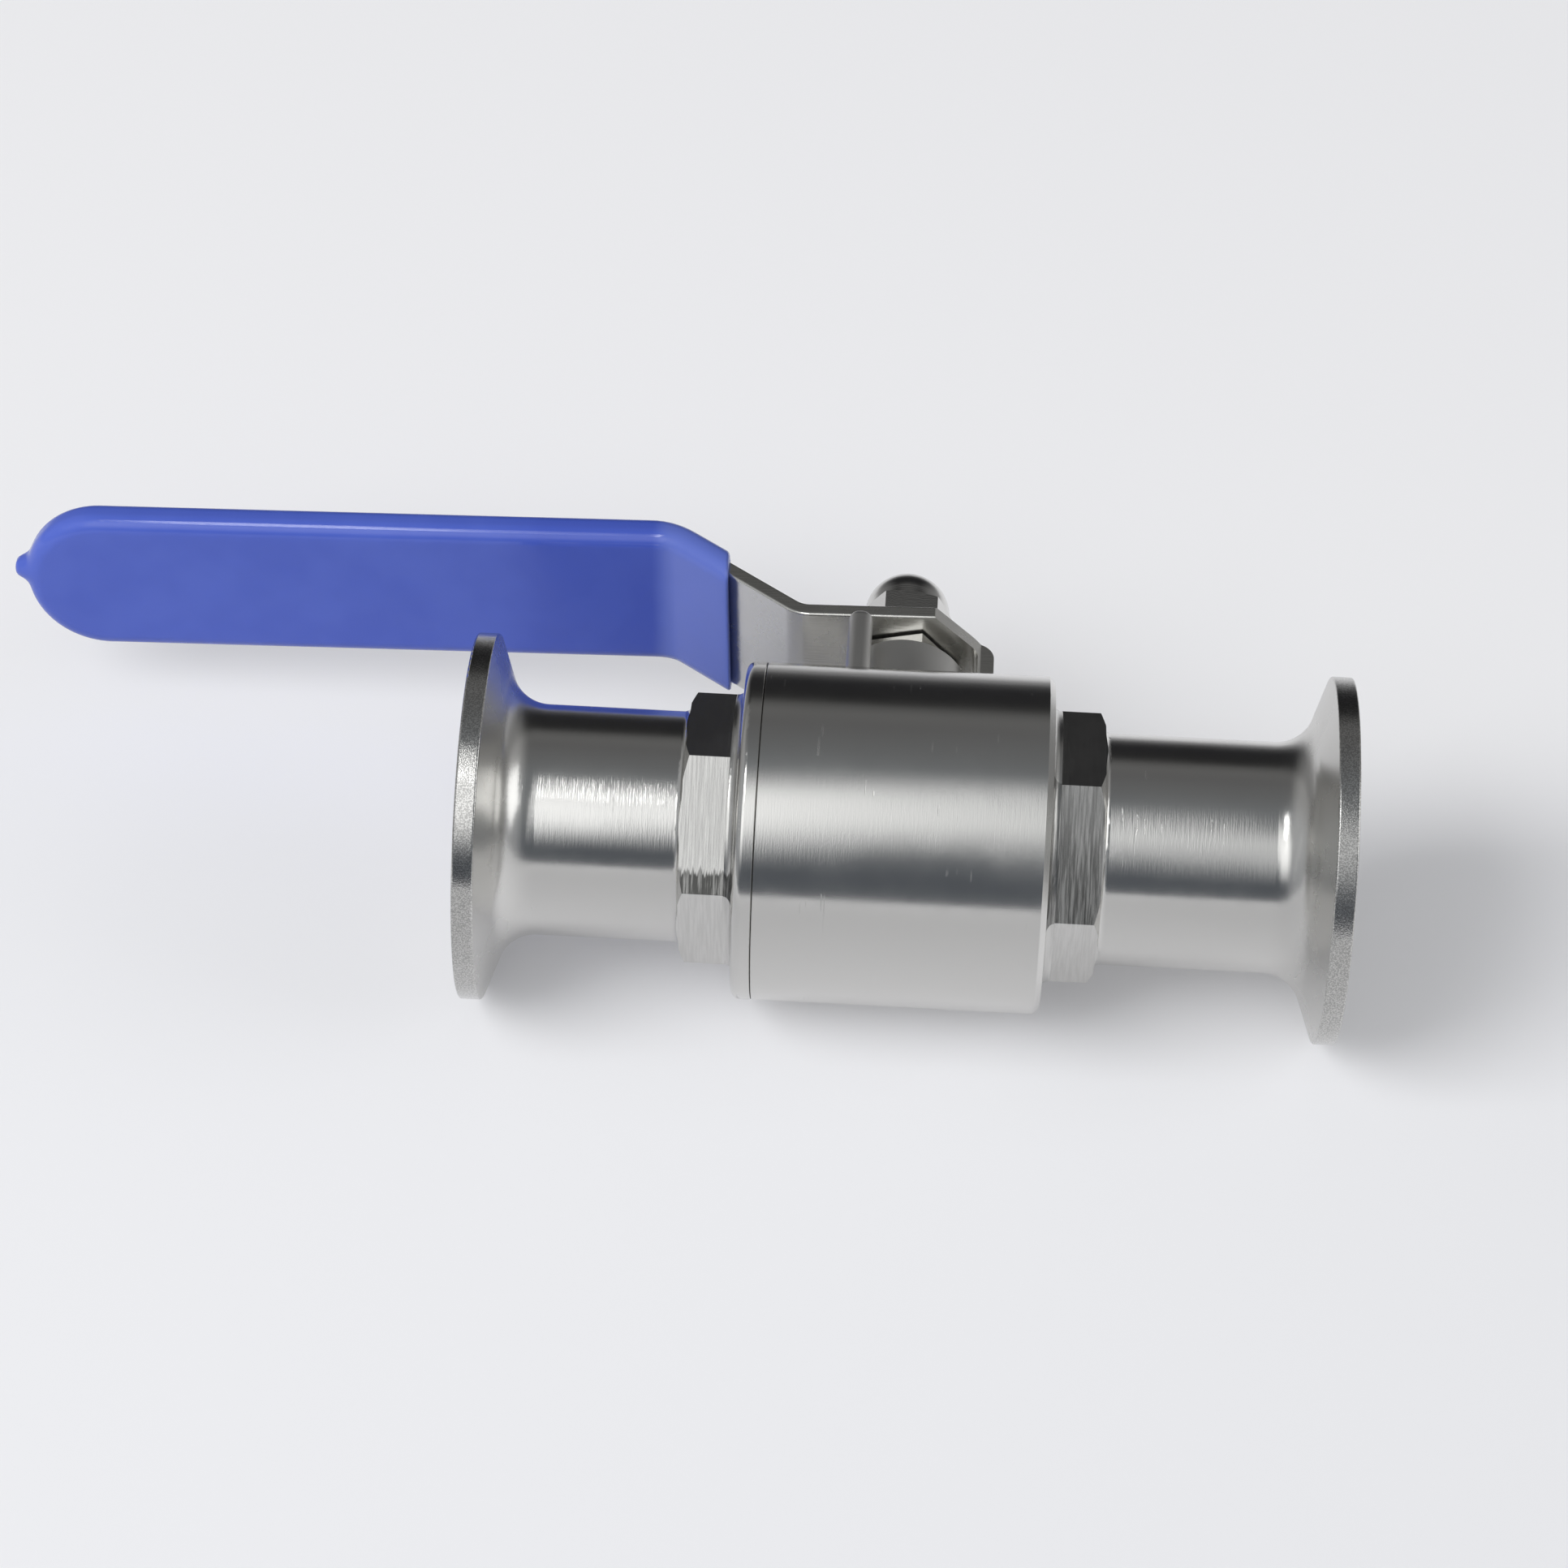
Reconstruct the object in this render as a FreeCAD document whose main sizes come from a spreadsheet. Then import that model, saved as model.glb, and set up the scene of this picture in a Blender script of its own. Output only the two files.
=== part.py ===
import FreeCAD, Part
import math
import os

import Sketcher

# Two-piece full-bore ball valve with clamp ends, lever at rest in the open position.
# Millimetres. The origin is the centre of the ball, +X runs along the flow towards the body's
# own clamp end, the end cap is on the -X side and +Z is the stem axis, up through the lever.

# Driving dimensions: name, value, what it measures. Most are lengths along the flow axis or up
# the stem, each measured from the piece before it, or walls and gaps between two pieces.
DIMENSIONS = (
    # Ball, seats and cavity
    ("port_diameter", 22.1, "bore of ball and ends, the bore of a 1 inch tube"),
    ("ball_wall", 5.95, "ball, from its bore out to its surface"),
    ("ball_edge", 0.5, "rounded edges of the ball's bore"),
    ("seat_relief", 0.45, "hole of a seat ring, wider all round than the port"),
    ("seat_lip", 3.3, "seat ring at its hole, from the ball's surface to its back"),
    ("seat_pocket", 5.8, "depth of a seat ring's pocket"),
    ("seat_stand_out", 0.8, "seat ring outside its pocket"),
    ("seat_inset", 1.5, "seat ring, narrower all round than the cavity"),
    ("seat_fit", 0.05, "gap round a seat ring and inside the body gasket"),
    ("seat_gap", 0.12, "film between the ball and a seat ring"),
    ("cavity_gap", 0.5, "gap between ball and cavity"),
    # Joint between body and end cap
    ("spigot_length", 8.5, "threaded spigot of the end cap, from the joint to its end"),
    ("thread_play", 0.1, "gap between a thread and its hole"),
    ("gasket_width", 2.3, "body gasket, from the cavity out to the thread"),
    ("gasket_thickness", 1.5, "body gasket, pressed"),
    ("joint_edge", 0.15, "edge break on both sides of the joint"),
    # Barrel, disc and spanner flats
    ("barrel_wall", 3.45, "barrel over the spigot"),
    ("pocket_wall", 5.1, "body behind the seat ring's pocket, to the barrel's blind end"),
    ("barrel_edge", 0.8, "edge break at the blind end of the barrel"),
    ("disc_thickness", 2.8, "disc of the end cap"),
    ("disc_edge", 1.3, "rounding of the disc's outer corner"),
    ("hex_step", 0.2, "spanner flats outside the neck"),
    ("hex_crown", 0.7, "turned bevel of a hexagon's outer corners, along the flow axis"),
    ("hex_crown_depth", 1.4, "the same bevel, towards the flow axis"),
    ("neck_root", 0.8, "radius between a hexagon and its neck"),
    ("hex_root", 1.1, "radius between a hexagon and the barrel or disc beside it"),
    ("hex_land", 0.1, "plain band between that radius and the flats"),
    ("body_hex_length", 7.2, "hexagon of the body, from the barrel's blind end"),
    ("cap_hex_length", 7.4, "hexagon of the end cap, from its disc"),
    ("body_hex_turn", 20.6, "turn of the body's hexagon about the flow axis"),
    ("cap_hex_turn", 15.8, "turn of the end cap's hexagon about the flow axis"),
    # Necks and clamp flanges
    ("neck_wall", 4.85, "neck over the port"),
    ("body_neck_length", 33.4, "body from its hexagon to its clamp face"),
    ("cap_neck_length", 29.8, "end cap from its hexagon to its clamp face"),
    ("clamp_diameter", 50.5, "outside of a clamp flange"),
    ("clamp_rim", 2.85, "thickness of a clamp flange at its rim"),
    ("clamp_angle", 20.0, "slope of a clamp flange's back"),
    ("clamp_fillet", 5.5, "radius between a flange's back and its neck"),
    ("rim_edge", 0.3, "rounded edges of a clamp flange's rim"),
    ("groove_inset", 3.5, "middle of the gasket groove, in from the clamp flange's outside"),
    ("groove_radius", 2.4, "radius of the gasket groove's section"),
    ("groove_depth", 1.6, "depth of the gasket groove"),
    ("port_chamfer", 0.4, "edge break of the bore at a clamp face"),
    # Stem, from the ball upwards
    ("tang_depth", 3.5, "tang, down into the ball from its surface"),
    ("tang_thickness", 5.9, "tang that drives the ball"),
    ("tang_step", 0.7, "tang, inside the collar's edge"),
    ("slot_play", 0.15, "gap on each side of the tang in the ball's slot"),
    ("slot_floor", 0.3, "gap under the tang"),
    ("collar_gap", 0.3, "gap between the ball and the collar"),
    ("collar_thickness", 1.8, "blow-out collar of the stem"),
    ("collar_width", 1.8, "collar outside the shank"),
    ("collar_fit", 0.15, "gap round the collar"),
    ("thrust_thickness", 1.2, "thrust washer on the collar"),
    ("land_length", 2.0, "plain guide between thrust washer and packing"),
    ("stem_fit", 0.1, "gap round the shank in its guide"),
    ("ring_section", 1.1, "section of the stem's rubber ring"),
    ("ring_fit", 0.03, "gap of the rubber ring to the guide and in its groove"),
    ("shank_step", 0.5, "shank outside the screw"),
    ("screw_diameter", 8.0, "thread at the top of the stem"),
    ("flat_depth", 1.0, "depth of each flat that the lever fits on"),
    ("screw_gap", 0.8, "gap over the stem in the cap nut"),
    ("screw_lead", 0.5, "bevel at the top of the stem"),
    # Packing set and gland
    ("packing_width", 2.1, "packing chamber outside the shank"),
    ("packing_fit", 0.05, "gap inside and outside the packing rings"),
    ("chevron_rise", 1.0, "height of a packing ring's ridge"),
    ("chevron_pitch", 1.2, "packing rings, one to the next"),
    ("bottom_ring_edge", 0.8, "bottom packing ring at its edges"),
    ("top_ring_edge", 1.8, "top packing ring at its edges"),
    ("gland_ring_thickness", 1.0, "flat ring under the gland nut"),
    ("gland_thread", 2.7, "gland nut inside the boss"),
    ("gland_head", 2.2, "hexagon of the gland nut"),
    ("gland_step", 0.4, "spanner flats of the gland nut outside the packing chamber"),
    ("gland_turn", 47.0, "turn of the gland nut's hexagon about the stem axis"),
    # Stem boss and stop lugs
    ("boss_wall", 2.4, "stem boss outside the packing chamber"),
    ("boss_edge", 0.8, "edge break at the top of the boss"),
    ("lug_headroom", 1.5, "gap between a stop lug and the lever's head"),
    ("lug_width", 3.4, "stop lug, along the tab's travel"),
    ("lug_depth", 3.6, "stop lug, in and out from the stem"),
    ("lug_lead", 1.2, "stop lug, nearer the stem than the tab"),
    ("lug_corner", 1.5, "rounded corners of a stop lug"),
    ("lug_crown", 1.3, "rounded top of a stop lug"),
    ("lug_gap", 0.2, "least gap between a stop lug and the tab at the end of its travel"),
    # Lever, in plan and from the side
    ("head_gap", 0.5, "gap between gland nut and lever"),
    ("lever_thickness", 2.3, "sheet of the lever"),
    ("lever_width", 20.6, "lever strip"),
    ("lever_edge", 0.35, "rounded edges of the lever"),
    ("lever_play", 1.8, "turn of the lever on its flats when it is let go"),
    ("hole_play", 0.15, "gap of the lever's hole to the stem and its flats"),
    ("tab_gap", 1.5, "gap between boss and stop tab"),
    ("tab_width", 7.4, "stop tab"),
    ("tab_clearance", 3.55, "gap between the stop tab's end and the barrel"),
    ("tab_bend_radius", 1.0, "inside radius of the stop tab's bend"),
    ("slant_length", 6.6, "cut corners of the head, along the lever"),
    ("slant_lap", 0.4, "cut corners, past the tab's inner face"),
    ("crank_start", 14.5, "start of the lever's slope, from the stem axis"),
    ("crank_angle", 39.0, "slope of the lever's cranked part"),
    ("crank_rise", 15.6, "lift from the lever's head to its handle"),
    ("lower_bend_radius", 3.0, "inside radius of the bend at the foot of the slope"),
    ("upper_bend_radius", 7.0, "inside radius of the bend at the top of the slope"),
    ("lever_end", 125.8, "end of the steel strip, from the stem axis"),
    ("lever_end_radius", 8.5, "rounded corners at the end of the strip"),
    # Vinyl sleeve
    ("grip_wall", 1.6, "sleeve wall on the handle"),
    ("slope_wall", 1.35, "sleeve wall on the slope, where the dip ran thinner"),
    ("grip_reach", 8.35, "sleeve down the slope from the upper bend, along the flow axis"),
    ("mouth_edge", 0.9, "rounding round the sleeve's mouth"),
    ("grip_tail", 3.1, "sleeve past the end of the strip"),
    ("grip_end_radius", 11.4, "rounded corners at the sleeve's end"),
    ("grip_edge", 2.3, "rounding along the sleeve's edges"),
    ("drip_offset", 1.2, "drip point, to the side of the handle's middle"),
    ("drip_diameter", 2.9, "drip point at its tip"),
    ("drip_root", 4.6, "drip point where it leaves the sleeve"),
    ("drip_length", 1.9, "drip point"),
    # Stem nut and lock washer
    ("washer_width", 3.4, "spring lock washer outside the screw"),
    ("washer_thickness", 1.6, "spring lock washer, pressed flat"),
    ("washer_split", 1.0, "split of the spring lock washer"),
    ("nut_wall", 2.5, "cap nut outside the screw, at its flats"),
    ("nut_hex_height", 6.5, "hexagon of the cap nut"),
    ("nut_turn", 5.0, "turn of the cap nut's hexagon about the stem axis"),
    ("nut_bevel_angle", 30.0, "bevel of the cap nut's corners"),
    ("nut_height", 14.5, "cap nut"),
    ("nut_roof", 3.0, "cap nut over its blind hole"),
    ("dome_step", 0.4, "dome of the cap nut, inside its flats"),
)

SHEET = "Sizes"
FULL_TURN = 360
FLATS = 6
CHEVRONS = 3
# How far a cut runs past the material, in millimetres.
CUT_PAST = 1.0
# Largest share of a wall that a rounding on it may take.
ROUND_SHARE = 0.48


class Measure:
    """A length or an angle: its value now, and the sheet formula that it comes from."""

    def __init__(self, value, formula):
        self.value = value
        self.formula = formula

    def __add__(self, other):
        other = as_measure(other)
        return Measure(self.value + other.value, f"({self.formula} + {other.formula})")

    def __sub__(self, other):
        other = as_measure(other)
        return Measure(self.value - other.value, f"({self.formula} - {other.formula})")

    def __mul__(self, other):
        other = as_measure(other)
        return Measure(self.value * other.value, f"({self.formula} * {other.formula})")

    def __truediv__(self, other):
        other = as_measure(other)
        return Measure(self.value / other.value, f"({self.formula} / {other.formula})")

    def __neg__(self):
        return as_measure(0) - self


def as_measure(number):
    if isinstance(number, Measure):
        return number
    return Measure(float(number), f"{number}")


def tangent(angle):
    return Measure(math.tan(math.radians(angle.value)), f"tan({angle.formula})")


def cosine(angle):
    return Measure(math.cos(math.radians(angle.value)), f"cos({angle.formula})")


def sine(angle):
    return Measure(math.sin(math.radians(angle.value)), f"sin({angle.formula})")


def root(number):
    number = as_measure(number)
    return Measure(math.sqrt(number.value), f"sqrt({number.formula})")


def smaller(one, other):
    return Measure(min(one.value, other.value), f"min({one.formula}; {other.formula})")


class Sizes:
    """The driving dimensions as measures, one attribute for each row of the sheet."""

    def __init__(self, doc):
        sheet = doc.addObject("Spreadsheet::Sheet", SHEET)
        for row, (name, value, meaning) in enumerate(DIMENSIONS, start=1):
            sheet.set(f"A{row}", meaning)
            sheet.set(f"B{row}", f"{value}")
            sheet.setAlias(f"B{row}", name)
            setattr(self, name, Measure(value, f"{SHEET}.{name}"))
        doc.recompute()
        self.work_out_flow_axis()
        self.work_out_stem()
        self.work_out_lever()

    def work_out_flow_axis(self):
        """Diameters from the port outwards, and places along the flow axis from the ball's centre."""
        self.ball_diameter = self.port_diameter + self.ball_wall * 2
        self.cavity_diameter = self.ball_diameter + self.cavity_gap * 2
        self.seat_bore = self.port_diameter + self.seat_relief * 2
        self.seat_diameter = self.cavity_diameter - self.seat_inset * 2
        self.spigot_diameter = self.cavity_diameter + self.gasket_width * 2
        self.barrel_diameter = self.spigot_diameter + self.barrel_wall * 2
        self.neck_diameter = self.port_diameter + self.neck_wall * 2
        self.groove_diameter = self.clamp_diameter - self.groove_inset * 2
        self.hex_across_flats = self.neck_diameter + self.hex_step * 2
        self.hex_corner = self.hex_across_flats / root(3)
        ball = self.ball_diameter / 2
        hole = self.seat_bore / 2
        self.seat_back = root(ball * ball - hole * hole) + self.seat_lip
        self.pocket_mouth = self.seat_back - self.seat_pocket
        self.seat_front = self.pocket_mouth - self.seat_stand_out
        self.barrel_shoulder = self.seat_back + self.pocket_wall
        self.body_hex_end = self.barrel_shoulder + self.body_hex_length
        self.body_face = self.body_hex_end + self.body_neck_length
        self.joint_face = self.pocket_mouth + self.spigot_length
        self.disc_back = self.joint_face + self.disc_thickness
        self.cap_hex_end = self.disc_back + self.cap_hex_length
        self.cap_face = self.cap_hex_end + self.cap_neck_length

    def work_out_stem(self):
        """Diameters from the screw outwards, and heights from the ball's centre up to the boss."""
        self.shank_diameter = self.screw_diameter + self.shank_step * 2
        self.flats_across = self.screw_diameter - self.flat_depth * 2
        self.collar_diameter = self.shank_diameter + self.collar_width * 2
        self.tang_diameter = self.collar_diameter - self.tang_step * 2
        self.packing_diameter = self.shank_diameter + self.packing_width * 2
        self.gland_across_flats = self.packing_diameter + self.gland_step * 2
        self.boss_diameter = self.packing_diameter + self.boss_wall * 2
        self.tang_bottom = self.ball_diameter / 2 - self.tang_depth
        self.collar_bottom = self.ball_diameter / 2 + self.collar_gap
        self.collar_top = self.collar_bottom + self.collar_thickness
        self.thrust_top = self.collar_top + self.thrust_thickness
        self.packing_floor = self.thrust_top + self.land_length
        self.first_chevron = self.packing_floor + self.bottom_ring_edge
        self.last_chevron = self.first_chevron + self.chevron_pitch * CHEVRONS
        self.packing_top = self.last_chevron + self.top_ring_edge
        self.gland_bottom = self.packing_top + self.gland_ring_thickness
        self.boss_top = self.gland_bottom + self.gland_thread
        self.gland_top = self.boss_top + self.gland_head

    def work_out_lever(self):
        """Heights and places of the lever, its tab and what holds it on the stem."""
        self.lever_seat = self.gland_top + self.head_gap
        self.lever_top = self.lever_seat + self.lever_thickness
        self.handle_under = self.lever_seat + self.crank_rise
        self.handle_top = self.lever_top + self.crank_rise
        self.upper_bend = self.slope_place(as_measure(0), self.handle_top)
        self.tab_inner = self.boss_diameter / 2 + self.tab_gap
        self.tab_outer = self.tab_inner + self.lever_thickness
        self.tab_end = self.barrel_diameter / 2 + self.tab_clearance
        self.lug_top = self.lever_seat - self.lug_headroom
        self.nut_bottom = self.lever_top + self.washer_thickness
        self.nut_top = self.nut_bottom + self.nut_height
        self.hole_top = self.nut_top - self.nut_roof
        self.screw_end = self.hole_top - self.screw_gap
        self.nut_across_flats = self.screw_diameter + self.nut_wall * 2
        self.dome_diameter = self.nut_across_flats - self.dome_step * 2
        self.washer_outside = self.screw_diameter + self.washer_width * 2

    def slope_place(self, lift, level):
        """X at which a surface, lift above the slope's top face, crosses a level."""
        foot = self.lever_top + lift / cosine(self.crank_angle)
        return -self.crank_start - (level - foot) / tangent(self.crank_angle)

    def slope_level(self, lift, place):
        """Height at X = place of a surface that runs lift above the slope's top face."""
        foot = self.lever_top + lift / cosine(self.crank_angle)
        return foot + (-self.crank_start - place) * tangent(self.crank_angle)


def bind(feature, name, measure):
    """Ties one property of a feature to the sheet."""
    feature.setExpression(name, as_measure(measure).formula)


def new_body(doc, label):
    body = doc.addObject("PartDesign::Body", label)
    body.Label = label
    return body


def attach(body, feature, plane, height=None):
    """Puts a feature on one of the body's own planes, raised along +X, -Y or +Z by a measure."""
    origin = [item for item in body.Origin.OriginFeatures if item.Role == plane][0]
    feature.AttachmentSupport = (origin, [""])
    feature.MapMode = "FlatFace"
    if height is not None:
        raised = FreeCAD.Vector(0, 0, height.value)
        feature.AttachmentOffset = FreeCAD.Placement(raised, FreeCAD.Rotation())
        bind(feature, "AttachmentOffset.Base.z", height)


def new_sketch(body, name, plane, height=None):
    sketch = body.newObject("Sketcher::SketchObject", name)
    attach(body, sketch, plane, height)
    return sketch


def hold(sketch, kind, *places_and_value):
    """Adds a dimension to a sketch and ties it to the sheet; the last argument is the measure."""
    *places, measure = places_and_value
    index = sketch.addConstraint(Sketcher.Constraint(kind, *places, measure.value))
    bind(sketch, f"Constraints[{index}]", measure)


def hold_point(sketch, geometry, end, place):
    """Holds a sketch point at its two distances from the origin."""
    for kind, measure in zip(("DistanceX", "DistanceY"), place):
        hold(sketch, kind, -1, 1, geometry, end, as_measure(measure))


def draw_outline(sketch, corners):
    """A closed outline of straight lines through corners, each a pair of measures."""
    first = sketch.GeometryCount
    count = len(corners)
    spots = [FreeCAD.Vector(as_measure(x).value, as_measure(y).value, 0) for x, y in corners]
    for i in range(count):
        sketch.addGeometry(Part.LineSegment(spots[i], spots[(i + 1) % count]), False)
    for i in range(count):
        following = first + (i + 1) % count
        sketch.addConstraint(Sketcher.Constraint("Coincident", first + i, 2, following, 1))
    for i in range(count):
        hold_point(sketch, first + i, 1, corners[i])


def draw_circle(sketch, radius, centre=(0, 0)):
    index = sketch.GeometryCount
    spot = FreeCAD.Vector(as_measure(centre[0]).value, as_measure(centre[1]).value, 0)
    sketch.addGeometry(Part.Circle(spot, FreeCAD.Vector(0, 0, 1), radius.value), False)
    hold_point(sketch, index, 3, centre)
    hold(sketch, "Radius", index, radius)


def draw_hexagon(sketch, across_flats, turn):
    """A hexagon about the origin; turn is the angle of its first corner."""
    reach = across_flats / root(3)
    corners = []
    for i in range(FLATS):
        angle = turn + FULL_TURN / FLATS * i
        corners.append((reach * cosine(angle), reach * sine(angle)))
    draw_outline(sketch, corners)


def draw_rounded_box(sketch, left, bottom, right, top, corner):
    """A rectangle with rounded corners, from its four sides and the corner radius."""
    first = sketch.GeometryCount
    middles = (
        (right - corner, top - corner, 0),
        (left + corner, top - corner, 90),
        (left + corner, bottom + corner, 180),
        (right - corner, bottom + corner, 270),
    )
    normal = FreeCAD.Vector(0, 0, 1)
    for x, y, start in middles:
        circle = Part.Circle(FreeCAD.Vector(x.value, y.value, 0), normal, corner.value)
        arc = Part.ArcOfCircle(circle, math.radians(start), math.radians(start + 90))
        sketch.addGeometry(arc, False)
    for i in range(4):
        begin = sketch.getPoint(first + i, 2)
        end = sketch.getPoint(first + (i + 1) % 4, 1)
        sketch.addGeometry(Part.LineSegment(begin, end), False)
    for i in range(4):
        line = first + 4 + i
        sketch.addConstraint(Sketcher.Constraint("Tangent", first + i, 2, line, 1))
        sketch.addConstraint(Sketcher.Constraint("Tangent", line, 2, first + (i + 1) % 4, 1))
    for i in (0, 2):
        hold_point(sketch, first + i, 3, middles[i][:2])
    for i in range(4):
        hold(sketch, "Radius", first + i, corner)
    for i in (0, 2):
        sketch.addConstraint(Sketcher.Constraint("Horizontal", first + 4 + i))


def draw_double_d(sketch, radius, half_across):
    """A round hole with two flats, the flats parallel to the sketch's first axis."""
    half_flat = root(radius * radius - half_across * half_across)
    angle = math.atan2(half_across.value, half_flat.value)
    normal = FreeCAD.Vector(0, 0, 1)
    circle = Part.Circle(FreeCAD.Vector(0, 0, 0), normal, radius.value)
    sketch.addGeometry(Part.ArcOfCircle(circle, -angle, angle), False)
    sketch.addGeometry(Part.ArcOfCircle(circle, math.pi - angle, math.pi + angle), False)
    for begin, end in ((0, 1), (1, 0)):
        line = Part.LineSegment(sketch.getPoint(begin, 2), sketch.getPoint(end, 1))
        sketch.addGeometry(line, False)
    for arc in (0, 1):
        sketch.addConstraint(Sketcher.Constraint("Coincident", arc, 3, -1, 1))
        hold(sketch, "Radius", arc, radius)
    for line, begin, end in ((2, 0, 1), (3, 1, 0)):
        sketch.addConstraint(Sketcher.Constraint("Coincident", line, 1, begin, 2))
        sketch.addConstraint(Sketcher.Constraint("Coincident", line, 2, end, 1))
        sketch.addConstraint(Sketcher.Constraint("Horizontal", line))
    hold(sketch, "DistanceY", -1, 1, 0, 2, half_across)
    hold(sketch, "DistanceY", 0, 1, -1, 1, half_across)


def turn(body, name, sketch, axis, kind="PartDesign::Revolution"):
    """Revolves a sketch about one of its own axes."""
    feature = body.newObject(kind, name)
    feature.Profile = sketch
    feature.ReferenceAxis = (sketch, [axis])
    feature.Angle = FULL_TURN
    return feature


def raise_pad(body, name, sketch, length, symmetric=False):
    feature = body.newObject("PartDesign::Pad", name)
    feature.Profile = sketch
    bind(feature, "Length", length)
    if symmetric:
        feature.SideType = "Symmetric"
    return feature


def cut_pocket(body, name, sketch, length=None, forward=False, symmetric=False):
    """Cuts a sketch out of the body: a measured length, or right through."""
    feature = body.newObject("PartDesign::Pocket", name)
    feature.Profile = sketch
    if length is None:
        feature.Type = "ThroughAll"
    else:
        bind(feature, "Length", length)
    if symmetric:
        feature.SideType = "Symmetric"
    feature.Reversed = forward
    return feature


def edges_where(shape, wanted):
    """Names of the edges of a shape for which wanted(edge) holds."""
    names = []
    for number, edge in enumerate(shape.Edges, start=1):
        if not edge.Degenerated and wanted(edge):
            names.append(f"Edge{number}")
    return names


def dress(body, kind, name, size, wanted):
    """Rounds or bevels the edges of the body's last feature that wanted picks."""
    body.Document.recompute()
    base = body.Tip
    feature = body.newObject(kind, name)
    feature.Base = (base, edges_where(base.Shape, wanted))
    bind(feature, "Radius" if kind.endswith("Fillet") else "Size", size)
    return feature


def near(one, other):
    return abs(one - other) < 0.01


def ring_at(x, radius):
    """Picks circular edges about the flow axis at one place and radius."""

    def wanted(edge):
        curve = edge.Curve
        if not isinstance(curve, Part.Circle):
            return False
        return near(curve.Center.x, x.value) and near(curve.Radius, radius.value)

    return wanted


def level_ring_at(z, radius):
    """Picks circular edges about the stem axis at one height and radius."""

    def wanted(edge):
        curve = edge.Curve
        if not isinstance(curve, Part.Circle) or not near(abs(curve.Axis.z), 1):
            return False
        return near(curve.Center.z, z.value) and near(curve.Radius, radius.value)

    return wanted


def crossing_at(spots):
    """Picks straight edges along Y that pass through one of the (x, z) spots."""

    def wanted(edge):
        start, end = edge.Vertexes[0].Point, edge.Vertexes[-1].Point
        if not (near(start.x, end.x) and near(start.z, end.z)):
            return False
        return any(near(start.x, x.value) and near(start.z, z.value) for x, z in spots)

    return wanted


def upright_at(x):
    """Picks straight edges along Z at one distance along X."""

    def wanted(edge):
        start, end = edge.Vertexes[0].Point, edge.Vertexes[-1].Point
        upright = near(start.x, end.x) and near(start.y, end.y)
        return upright and near(start.x, x.value)

    return wanted


def mirrored(corners):
    """The same outline on the other side of the stem axis, kept in the same turning sense."""
    return [(-x, y) for x, y in reversed(corners)]


def clamp_profile(s, face):
    """Outside of a clamp end from its neck to its face, on the +X side of the centre."""
    slope = (s.clamp_diameter - s.neck_diameter) / 2 * tangent(s.clamp_angle)
    back = face - s.clamp_rim
    return [
        (back - slope, s.neck_diameter / 2),
        (back, s.clamp_diameter / 2),
        (face, s.clamp_diameter / 2),
    ]


def finish_clamp_end(body, s, face, side):
    """Gasket groove, neck fillet and broken edges of a clamp end; side is 1 or -1 along X."""
    sketch = new_sketch(body, "gasket_groove_section", "XZ_Plane")
    out = (face + s.groove_radius - s.groove_depth) * side
    draw_circle(sketch, s.groove_radius, (out, s.groove_diameter / 2))
    turn(body, "gasket_groove", sketch, "H_Axis", "PartDesign::Groove")
    slope = (s.clamp_diameter - s.neck_diameter) / 2 * tangent(s.clamp_angle)
    back = face - s.clamp_rim
    picked = ring_at((back - slope) * side, s.neck_diameter / 2)
    dress(body, "PartDesign::Fillet", "neck_fillet", s.clamp_fillet, picked)
    for name, place in (("rim_back_edge", back), ("rim_face_edge", face)):
        picked = ring_at(place * side, s.clamp_diameter / 2)
        dress(body, "PartDesign::Fillet", name, s.rim_edge, picked)
    picked = ring_at(face * side, s.port_diameter / 2)
    dress(body, "PartDesign::Chamfer", "port_edge", s.port_chamfer, picked)


def mill_hexagon(body, s, start, end, side, angle):
    """Spanner flats and root radii of a hexagon between two places along the flow axis."""
    picked = ring_at(end * side, s.neck_diameter / 2)
    dress(body, "PartDesign::Fillet", "neck_root", s.neck_root, picked)
    flats_start = start + s.hex_root + s.hex_land
    flats_end = end + s.neck_root
    low = flats_start if side > 0 else -flats_end
    sketch = new_sketch(body, "spanner_flats", "YZ_Plane", low)
    draw_circle(sketch, s.barrel_diameter)
    draw_hexagon(sketch, s.hex_across_flats, angle)
    cut_pocket(body, "spanner_hexagon", sketch, flats_end - flats_start, forward=True)
    picked = ring_at(start * side, s.hex_corner)
    dress(body, "PartDesign::Fillet", "hexagon_root", s.hex_root, picked)


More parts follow.
